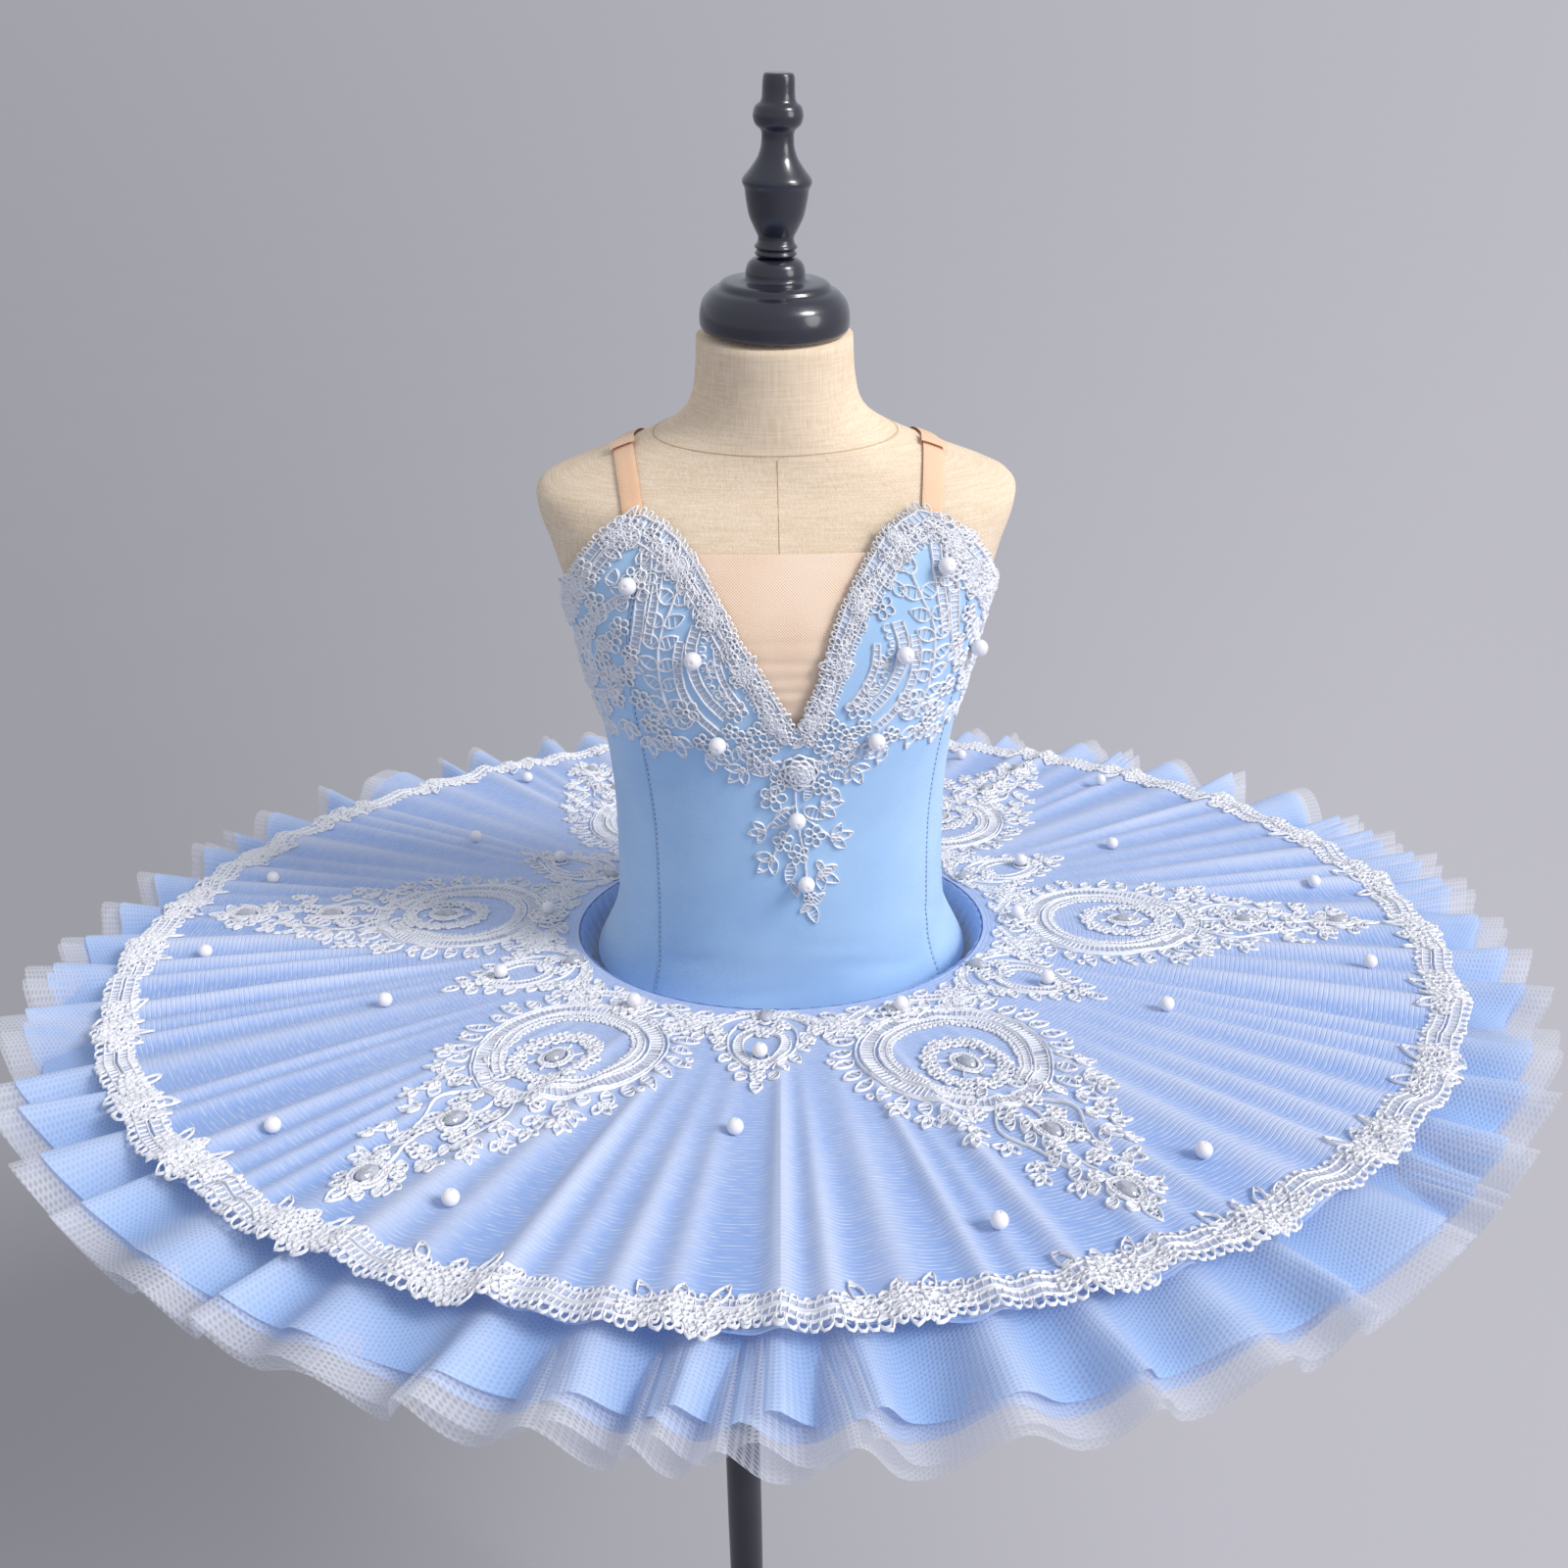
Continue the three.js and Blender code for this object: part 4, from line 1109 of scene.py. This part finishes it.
def large_motif(number, turn):
    """An egg of ladder bands round a stone, with a leafy tail that points outwards."""
    lace = Lace(lay_on_skirt(turn))
    lace.ladder(egg(0), 7.5, 3.0, closed=True)
    lace.ladder(egg(-8, 34, 26, 334), 4.0, 2.4, lift=0.2)
    lace.picots(egg(-10.5, 34, 30, 330), 1.6, 3.4, side=1.0)
    lace.cord(smooth_path(egg(6), 2.5, True), 0.6, closed=True)
    for k, t in enumerate(np.linspace(34, 326, 27)):
        at = egg(8, 2, t, t + 0.01)[0]
        away = math.degrees(math.atan2(math.sin(math.radians(t)), math.cos(math.radians(t))))
        lean = 26 if math.sin(math.radians(t)) > 0 else -26
        length = 15 if k % 2 else 12
        lace.leaf(at, away - lean + rng.uniform(-6, 6), length * rng.uniform(0.9, 1.15), 7.0)
        if k % 3 == 1:
            lace.ring(egg(20, 2, t, t + 0.01)[0], 2.1)
    for t in np.linspace(0, 2 * np.pi, 17, endpoint=False):
        at = (220 + 24 * math.cos(t), 19 * math.sin(t))
        lace.flower(at, rng.uniform(4.4, 5.8), 5, rng.uniform(0, 72), 0.4)
    for side in (-1, 1):
        lace.leaves(((246, 8, 30, 10), (252, 16, 50, 10), (244, 24, 120, 10), (256, 4, 10, 10)),
                    5.5, side=side)
    for t in np.linspace(0, 360, 9)[:-1]:
        reach = np.array([(6.0, 0.0), (15.0, 1.5)]) @ turning(t).T + (220, 0)
        lace.cord(reach, 0.35)
    lace.stem([(262, 0), (278, 4), (296, 0), (318, -5), (338, 0), (354, 3), (376, 0)])
    for side in (-1, 1):
        lace.stem([(262, side * 10), (284, side * 22), (304, side * 16), (330, side * 12)])
        for x, span in ((282, 13), (300, 12), (320, 12), (336, 10), (350, 9), (364, 8)):
            lace.leaf((x, side * 4), side * 42, span, 6.0)
            lace.leaf((x - 7, side * 11), side * 28, span * 0.9, 5.5)
    lace.leaf((366, 0), 0, 14, 7)
    lace.sprigs(TAIL_SPRIGS)
    lace.blossoms(TAIL_FLOWERS, 0.5)
    for x in (220, 296, 354):
        lace.ladder(gem_ring(x, 9.5, 7), 2.6, 2.0, closed=True, lift=0.4)
    lace.flower((152, 0), 13, 8, 10, 0.6, 0.7)
    lace.flower((152, 0), 8, 6, 30, 1.4, 0.7)
    for side in (-1, 1):
        lace.ladder([(140, side * 12), (148, side * 30), (162, side * 45)], 5, 2.6)
        lace.leaves(((140, 16, 110, 12), (142, 28, 78, 12), (150, 40, 62, 12), (160, 30, 40, 11),
                     (156, 20, 20, 10)), 6.5, side=side)
        lace.flower((146, side * 36), 5.5, 5, 20, 0.5)
    return lace.piece(f"skirt_motif_large_{number}")


def gem_ring(x, length, width):
    a = np.linspace(0, 2 * np.pi, 14, endpoint=False)
    return np.stack([x + np.cos(a) * length, np.sin(a) * width], 1)


def small_motif(number, turn):
    """A small oval with scrolls, between two large motifs."""
    lace = Lace(lay_on_skirt(turn))
    a = np.linspace(0, 2 * np.pi, 24, endpoint=False)
    oval = np.stack([176 + 19 * np.cos(a), 13 * np.sin(a) * (1 - 0.2 * np.cos(a))], 1)
    lace.ladder(oval, 5.0, 2.4, closed=True)
    for side in (-1, 1):
        lace.ladder([(136, side * 6), (141, side * 18), (150, side * 27), (162, side * 30)],
                    4.5, 2.4)
        lace.stem([(141, side * 4), (150, side * 14), (163, side * 19), (182, side * 17),
                   (200, side * 7)])
        lace.leaves(((138, 8, 100, 10), (140, 18, 78, 11), (146, 26, 60, 11), (160, 20, 50, 10),
                     (172, 19, 44, 10), (184, 16, 36, 10), (194, 11, 30, 9), (204, 7, 26, 9)),
                    6.0, side=side)
        lace.flower((152, side * 9), 5.5, 5, 0, 0.5)
        lace.flower((168, side * 25), 4.5, 5, 40, 0.4)
    for side in (-1, 1):
        lace.ladder([(140, side * 22), (146, side * 34), (142, side * 46)], 3.6, 2.4)
        lace.leaves(((137, 30, 80, 11), (139, 40, 60, 11), (150, 36, 50, 11), (152, 44, 70, 10),
                     (160, 34, 30, 10), (146, 50, 40, 10)), 6.0, side=side)
        lace.flower((148, side * 40), 5.0, 5, 30, 0.4)
        lace.flower((156, side * 28), 5.0, 5, 10, 0.4)
    lace.flower((141, 0), 8.5, 7, 0, 0.4, 0.65)
    for x, size in ((160, 5), (198, 5.5), (208, 4.5)):
        lace.flower((x, 0), size, 5, 25, 0.5)
    lace.leaf((212, 0), 0, 12, 6.5)
    lace.ring((187, 0), 4.8, 0.3, sides=12)
    return lace.piece(f"skirt_motif_small_{number}")


def lay_edging(plan, out):
    """A plan whose x runs round the braid's middle line and whose y points outwards."""
    azimuth = np.degrees(plan[:, 0] / BRAID_R)
    radius = BRAID_R + plan[:, 1]
    drop = -3.0 * ease((radius - BRAID_R - 6) / 16)
    return on_skirt(skirt_point(radius, azimuth, out + drop))


def edging_piece():
    """The braid round the top net, with a flower cluster every 90 mm or so."""
    lace = Lace(lay_edging)
    around = 2 * math.pi * BRAID_R
    x = np.linspace(0, around, 150)
    sway = 2.2 * np.sin(x / around * 2 * np.pi * 27)
    middle = np.stack([x, sway], 1)
    lace.ladder(middle + (0, -3.6), 5.0, 3.6)
    lace.ladder(middle + (0, 3.6), 5.0, 3.2, lift=0.2)
    lace.picots(middle + (0, -6), 2.4, 5.5, side=-1.0)
    lace.picots(middle + (0, 6.5), 2.8, 4.6, side=1.0)
    clusters = 28
    for k in range(clusters):
        at = around * (k + rng.uniform(0.38, 0.62)) / clusters
        for step, aside, size in ((-24, 1, 5), (-16, 2, 5), (-8, -1, 6), (1, 3, 6.5), (9, -1, 6),
                                  (17, 3, 5), (25, 0, 5), (-3, 7, 5), (7, 8, 5), (-2, -6, 5)):
            lace.flower((at + step, aside + 2.2 * math.sin(k)), size * rng.uniform(0.85, 1.15),
                        5, rng.uniform(0, 72), 0.7)
        for step, lean, size in ((-17, -118, 14), (-4, -76, 11), (9, -64, 16), (20, -50, 11)):
            lace.leaf((at + step, -4), lean + rng.uniform(-12, 12), size, 6.0, 2, 0.5)
        for step, lean in ((-12, 70), (3, 95), (14, 120)):
            lace.leaf((at + step, 6), lean + rng.uniform(-10, 10), 9, 6.0, 2, 0.3)
    return lace.piece("skirt_edging")


MOTIFS = 6
MOTIF_STEP = 360 / MOTIFS
skirt_lace = [edging_piece()]
for i in range(MOTIFS):
    small_turn = MOTIF_TURN + i * MOTIF_STEP
    skirt_lace.append(large_motif(i + 1, small_turn + MOTIF_STEP / 2))
    skirt_lace.append(small_motif(i + 1, small_turn))


def skirt_spot(radius, azimuth, out):
    """Where a stone sits on the skirt: its centre, the way up, and the way outwards."""
    centre = on_skirt(skirt_point(radius, azimuth, out))
    return centre, SKIRT_AXES[:, 2], SKIRT_AXES @ polar(1.0, azimuth, 0.0)


SKIRT_PEARL_R = 4.3
pearl_spots, gem_spots = [], []
LOOSE_PEARLS = [(262, 0, 1.8), (355, -20, 2.0), (358, 19, 2.0)]
for i in range(MOTIFS):
    axis = MOTIF_TURN + i * MOTIF_STEP
    pearl_spots.append(skirt_spot(152, axis + 30, SKIRT_PEARL_R + 2.0))
    pearl_spots.append(skirt_spot(187, axis, SKIRT_PEARL_R + 1.0))
    gem_spots.append(skirt_spot(141, axis, 2.0))
    for radius in (220, 296, 354):
        gem_spots.append(skirt_spot(radius, axis + 30, 1.6))
    for radius, away, shift in LOOSE_PEARLS:
        pearl_spots.append(skirt_spot(radius + rng.uniform(-5, 8),
                                      axis + away + rng.uniform(-shift, shift), SKIRT_PEARL_R))
skirt_pearls = set_stones("skirt_pearls", pearl_shape(SKIRT_PEARL_R), pearl_spots, PEARL,
                          True)
skirt_gems = set_stones("skirt_gems", gem_shape(13, 8.5, 3.0), gem_spots, GEM,
                        False)

# ---- lace on the bodice ----
def lay_on_bodice(middle, side=1.0):
    """A plan whose x runs away from one azimuth round the form and whose y is the height."""
    def lay(plan, out):
        azimuth = middle + side * plan[:, 0] / MM_PER_DEGREE
        return on_form(bodice_point(azimuth, plan[:, 1], TRIM_OUT + out - 0.5))
    return lay


def edge_path(side, start, end, step, drop):
    """The bodice's upper edge as a plan line, some way below it, between two half turns."""
    turns = np.arange(start, end + step / 2, step)
    azimuth = V_AZIMUTH + side * turns
    return np.stack([turns * MM_PER_DEGREE, top_edge(azimuth) - drop], 1)


def neckline_braid(label, side):
    """The ladder braid along the edge, thicker where its flower clusters sit."""
    lace = Lace(lay_on_bodice(V_AZIMUTH, side))
    end = 93 if side > 0 else 101
    rim = edge_path(side, 0.4, end, 1.5, 0.0)
    lace.ladder(inset_path(rim, 2.2), 4.2, 3.0, half=0.55)
    lace.cord(smooth_path(inset_path(rim, 5.8), 2.5), 0.6, 0.2)
    lace.ladder(inset_path(rim, 8.4), 3.4, 2.8, half=0.55, lift=0.2)
    lace.picots(inset_path(rim, -0.2), 1.5, 3.6, side=1.0)
    lace.picots(inset_path(rim, 10.6), 1.5, 4.2, side=-1.0)
    walk = smooth_path(inset_path(rim, 6.0), 9.0)
    for k, at in enumerate(walk):
        crowd = 5 if k % 4 == 1 else 1
        for _ in range(crowd):
            spot = at + rng.uniform(-4.5, 4.5, 2)
            lace.flower(spot, rng.uniform(3.4, 5.2), 5, rng.uniform(0, 72), 0.7, 0.5)
        if crowd > 1:
            for _ in range(4):
                lace.leaf(at + rng.uniform(-3, 3, 2), rng.uniform(0, 360), 9, 4.6, 2, 0.7)
        else:
            lace.leaf(at, rng.uniform(200, 340), 9, 4.5, 3, 0.4)
    return lace.piece(f"neckline_braid_{label}")


def inset_path(path, depth):
    """The path moved square to itself, towards the cloth."""
    aside = sideways(path)
    aside[aside[:, 1] > 0] *= -1
    moved = path + aside * depth
    keep = [0]
    for k in range(1, len(moved)):
        ahead = np.dot(moved[k] - moved[keep[-1]], path[k] - path[keep[-1]]) > 0
        if ahead and np.linalg.norm(moved[k] - moved[keep[-1]]) > 1.2:
            keep.append(k)
    return moved[keep]


CUP_STEM = [(71, 262), (73, 250), (76, 238), (77, 224), (76, 210), (73, 196), (68, 184)]
# points of the middle line (x, y), width of the cup's ladder bands
CUP_BANDS = [
    ([(94, 276), (90.5, 264), (89, 250), (88.5, 236), (90, 224)], 5.0),
    ([(86.5, 276), (83.5, 262), (82.5, 246), (83, 230)], 4.0),
    ([(58, 240), (60, 228), (57, 214), (50, 202), (40, 192)], 5.5),
    ([(66, 232), (66.5, 218), (63, 203), (55, 191), (45, 182)], 4.5),
    ([(100, 250), (110, 240), (119, 226), (123, 212)], 4.5),
    ([(100, 200), (108, 194), (118, 189), (128, 186)], 4.5),
    ([(46, 230), (44, 218), (38, 206), (30, 196)], 3.5),
]
# x, y, radius
CUP_FLOWERS = [
    (62, 194, 7.5), (52, 248, 6.5), (34, 196, 6.5), (103, 226, 6.5), (110, 214, 6.0),
    (96, 208, 6.5), (112, 246, 6.0), (88, 196, 6.5), (104, 192, 6.0), (44, 172, 6.0),
    (118, 230, 6.0), (126, 222, 6.0), (98, 236, 5.5), (84, 182, 6.0), (116, 182, 5.5),
    (22, 184, 6.5), (16, 174, 6.0), (30, 180, 5.5), (124, 198, 5.5), (134, 212, 5.5),
    (96, 262, 5.0), (120, 204, 5.5), (110, 202, 5.0), (76, 176, 5.5), (54, 176, 5.5),
    (130, 190, 5.0), (140, 200, 5.0), (142, 186, 5.0), (92, 222, 5.0), (38, 184, 5.0),
]
# x, y, turn, size
CUP_SPRIGS = [
    (52, 168, 200, 12), (70, 176, 250, 12), (86, 172, 262, 11), (100, 178, 270, 11),
    (34, 174, 235, 11), (24, 168, 250, 11), (118, 172, 280, 11), (132, 178, 290, 11),
    (110, 236, 60, 10), (122, 214, 300, 10), (96, 252, 20, 9), (50, 218, 160, 7),
    (94, 216, 200, 9), (130, 200, 270, 10), (14, 164, 250, 10), (104, 204, 100, 9),
    (144, 192, 280, 10), (76, 190, 330, 9), (40, 204, 60, 7), (112, 224, 200, 8),
]


def cup_lace(label, side):
    """The lace over one side of the bust: bands, a leaf branch and flowers."""
    lace = Lace(lay_on_bodice(V_AZIMUTH, side))
    for path, width in CUP_BANDS:
        lace.ladder(path, width, 2.8)
    lace.stem(CUP_STEM)
    walk = smooth_path(CUP_STEM, 11.5)
    for k, at in enumerate(walk[1:]):
        for hand in (-1, 1):
            lace.leaf(at, 90 + hand * (58 + 6 * (k % 2)), 11.5, 6.8)
    lace.leaf(walk[0], 92, 13, 7)
    lace.blossoms(CUP_FLOWERS, 0.3)
    lace.sprigs(CUP_SPRIGS)
    lace.picots([(54, 238), (55, 228), (52, 214), (45, 203), (37, 195)], 2.2, 4.6, side=-1.0)
    for x, y in ((96, 268), (98, 244), (64, 252), (66, 266), (60, 260), (106, 256)):
        lace.leaf((x, y), rng.uniform(60, 120), 9, 6, 2)
    lace.flower((90.5, 258), 8, 6, 10, 0.5)
    return lace.piece(f"cup_lace_{label}")


PENDANT_AZIMUTH = 7.0
# kind, x, y, turn, size
PENDANT = [
    ("rosette", 0, 158, 0, 12), ("rosette", 2, 158, 30, 8),
    ("flower", -16, 141, 0, 9), ("sprig", 15, 134, 10, 12), ("leaf", -3, 134, 222, 19),
    ("leaf", 8, 150, 250, 12), ("leaf", 3, 134, 330, 16), ("sprig", -22, 119, 190, 10),
    ("flower", -10, 112, 20, 7), ("flower", 10, 115, 0, 7.5), ("sprig", 22, 112, 10, 12),
    ("sprig", -17, 101, 225, 13), ("flower", 0, 103, 30, 7), ("leaf", -4, 98, 258, 15),
    ("leaf", -4, 84, 290, 10), ("leaf", 12, 98, 300, 9), ("leaf", 12, 88, 20, 10),
    ("sprig", 14, 89, 330, 13), ("flower", 7, 75, 0, 4.5), ("leaf", 8, 69, 35, 11),
    ("leaf", 8, 69, 215, 9), ("leaf", 7, 69, 290, 14), ("flower", 14, 148, 20, 6),
    ("flower", -12, 152, 0, 6.5), ("leaf", -16, 160, 190, 13), ("leaf", 18, 158, 330, 12),
    ("sprig", 32, 158, 300, 12), ("sprig", -34, 160, 225, 12), ("flower", 26, 166, 0, 6.5),
    ("flower", -26, 168, 0, 6.5), ("leaf", -14, 148, 230, 12), ("leaf", 20, 146, 300, 11),
]


def pendant_piece():
    """The lace that hangs from the foot of the V."""
    lace = Lace(lay_on_bodice(PENDANT_AZIMUTH))
    lace.stem([(0, 158), (-2, 144), (-1, 130), (1, 116), (4, 102), (5, 88), (7, 72)])
    lace.stem([(-2, 132), (8, 124), (22, 112)])
    lace.stem([(-1, 126), (-10, 114), (-17, 101)])
    lace.stem([(-2, 136), (-14, 128), (-22, 119)])
    for kind, x, y, lean, size in PENDANT:
        if kind == "rosette":
            for step in range(3):
                lace.flower((x, y), size * (1 - 0.24 * step), 8, lean + 20 * step,
                            0.6 + 0.8 * step, 0.7)
        elif kind == "flower":
            lace.flower((x, y), size, 5, lean, 0.4)
        elif kind == "sprig":
            lace.sprig((x, y), lean, size)
        else:
            lace.leaf((x, y), lean, size, size * 0.48, 4)
    return lace.piece("bodice_pendant")


for label, side in (("left", -1), ("right", 1)):
    neckline_braid(label, side)
    cup_lace(label, side)
pendant_piece()

BODICE_PEARL_R = 4.9
# azimuth, height
BODICE_PEARLS = [(-48.6, 257.4), (-26.8, 224.2), (-19.5, 178), (55.3, 264.9), (39.4, 223.9),
                 (31.2, 176.8), (66.6, 213.4), (6.4, 128.6), (9.6, 85.5)]


def bodice_spot(azimuth, height):
    surface = form_point(azimuth, height)
    up = outward(surface)
    out = TRIM_OUT + 1.0 + BODICE_PEARL_R * 0.9
    return on_form(bodice_point(azimuth, height, out)), up, np.cross(up, (0.3, 0.1, 1.0))


set_stones("bodice_pearls", pearl_shape(BODICE_PEARL_R),
           [bodice_spot(np.float64(a), np.float64(h)) for a, h in BODICE_PEARLS],
           PEARL, True)


# ---- seams of the form ----
def seam_piece():
    """The stitched seams of the form: round the neck and down its front and back."""
    lace = Lace(lambda plan, out: on_form(form_point(plan[:, 0], plan[:, 1], out)), base=-0.2)
    turns = np.arange(-180, 181, 3.0)
    dip = 320 + 2.5 * (1 - np.cos(np.radians(turns)))
    lace.cord(np.stack([turns, dip], 1), 0.5, height=0.5)
    for azimuth in (1.5, 181.5):
        levels = np.arange(-90, 320, 4.0)
        lace.cord(np.stack([np.full(len(levels), azimuth), levels], 1), 0.34, height=0.5)
    plan = np.vstack(lace.plans)
    points = lace.lay(plan, np.concatenate(lace.outs))
    return add_piece("form_seams", points, np.vstack(lace.faces), [SEAM_THREAD])


seam_piece()


# ---- studio ----
FLOOR_LEVEL = -0.5
FLOOR_RADII = (0, 300, 1500, 6000, 15000, 42000)


def floor_piece():
    """A wide pale floor with a faint glow and painted light: lighter towards +X, the side the light
    comes from.
    """
    points, faces = lathe([(radius, FLOOR_LEVEL) for radius in FLOOR_RADII], 96)
    mesh = bpy.data.meshes.new("floor")
    mesh.from_pydata((points * MM).tolist(), [], faces.tolist())
    shader = Shader("floor")
    place = shader.place()
    split = shader.node("ShaderNodeSeparateXYZ", {0: place})
    # Painted light: the floor's colour, and with it its glow, turns lighter towards +X, where the
    # light comes from; the grain adds tone that differs at random.
    square = [shader.math("MULTIPLY", split.outputs[axis], split.outputs[axis])
              for axis in (0, 1)]
    reach = shader.math("SQRT", shader.math("ADD", shader.math("ADD", *square), 0.64))
    side = shader.math("DIVIDE", split.outputs[0], reach)
    grain = shader.noise(place, 3.0, 2.0)
    tone = shader.math("ADD", side, shader.math("MULTIPLY", grain, 0.05))
    base = shader.mix(shader.map(tone, -0.5, 0.52, 0.0, 1.0), srgb(132, 131, 135),
                      srgb(160, 158, 163))
    surface = shader.surface({"Base Color": base, "Roughness": 0.95, "Specular IOR Level": 0.1,
                              "Emission Color": base, "Emission Strength": 0.4})
    mesh.materials.append(shader.done(surface))
    floor = bpy.data.objects.new("floor", mesh)
    bpy.context.scene.collection.objects.link(floor)


def area_light(name, place, aim, size, power, colour):
    data = bpy.data.lights.new(name, "AREA")
    data.shape = "DISK"
    data.size = size
    data.energy = power
    data.color = colour
    light = bpy.data.objects.new(name, data)
    light.location = place
    light.rotation_euler = (Vector(aim) - Vector(place)).to_track_quat("-Z", "Y").to_euler()
    bpy.context.scene.collection.objects.link(light)


def sun_light(place, power, softness):
    data = bpy.data.lights.new("key", "SUN")
    data.energy = power
    data.angle = math.radians(softness)
    light = bpy.data.objects.new("key", data)
    light.rotation_euler = (-Vector(place)).to_track_quat("-Z", "Y").to_euler()
    bpy.context.scene.collection.objects.link(light)


SKY, SKY_STRENGTH = (0.78, 0.82, 0.9, 1), 0.72
SUN_SIDE = (1.7, -0.7, 1.7)
FILL_PLACE, FILL_AIM = (1.7, -0.9, 1.76), (0.0, 0.0, 1.1)


def studio():
    """An even pale room with soft light from the front right."""
    scene = bpy.context.scene
    world = bpy.data.worlds.new("studio")
    world.use_nodes = True
    background = world.node_tree.nodes["Background"]
    background.inputs["Color"].default_value = SKY
    background.inputs["Strength"].default_value = SKY_STRENGTH
    scene.world = world
    scene.view_settings.view_transform = "Standard"
    floor_piece()
    sun_light(SUN_SIDE, 2.2, 20)
    area_light("fill_right", FILL_PLACE, FILL_AIM, 0.9, 9, (1, 0.98, 0.96))


EYE = (0.03785, -0.85921, 1.47136)
PITCH_DOWN, ROLL = 28.78, -0.54
SENSOR, LENS = 36, 36.45


def camera():
    """A near camera, 1.5 m up and 0.86 m in front, looking 28.8 degrees down."""
    pitch, roll = math.radians(PITCH_DOWN), math.radians(ROLL)
    ahead = Vector((0, math.cos(pitch), -math.sin(pitch)))
    level = Vector((1, 0, 0))
    above = level.cross(ahead)
    right = level * math.cos(roll) + above * math.sin(roll)
    up = above * math.cos(roll) - level * math.sin(roll)
    data = bpy.data.cameras.new("camera")
    data.sensor_width = SENSOR
    data.lens = LENS
    data.clip_start = 0.05
    data.clip_end = 100
    eye = bpy.data.objects.new("camera", data)
    axes = Matrix((right, up, -ahead)).transposed().to_4x4()
    eye.matrix_world = Matrix.Translation(EYE) @ axes
    bpy.context.scene.collection.objects.link(eye)
    bpy.context.scene.camera = eye


studio()
camera()
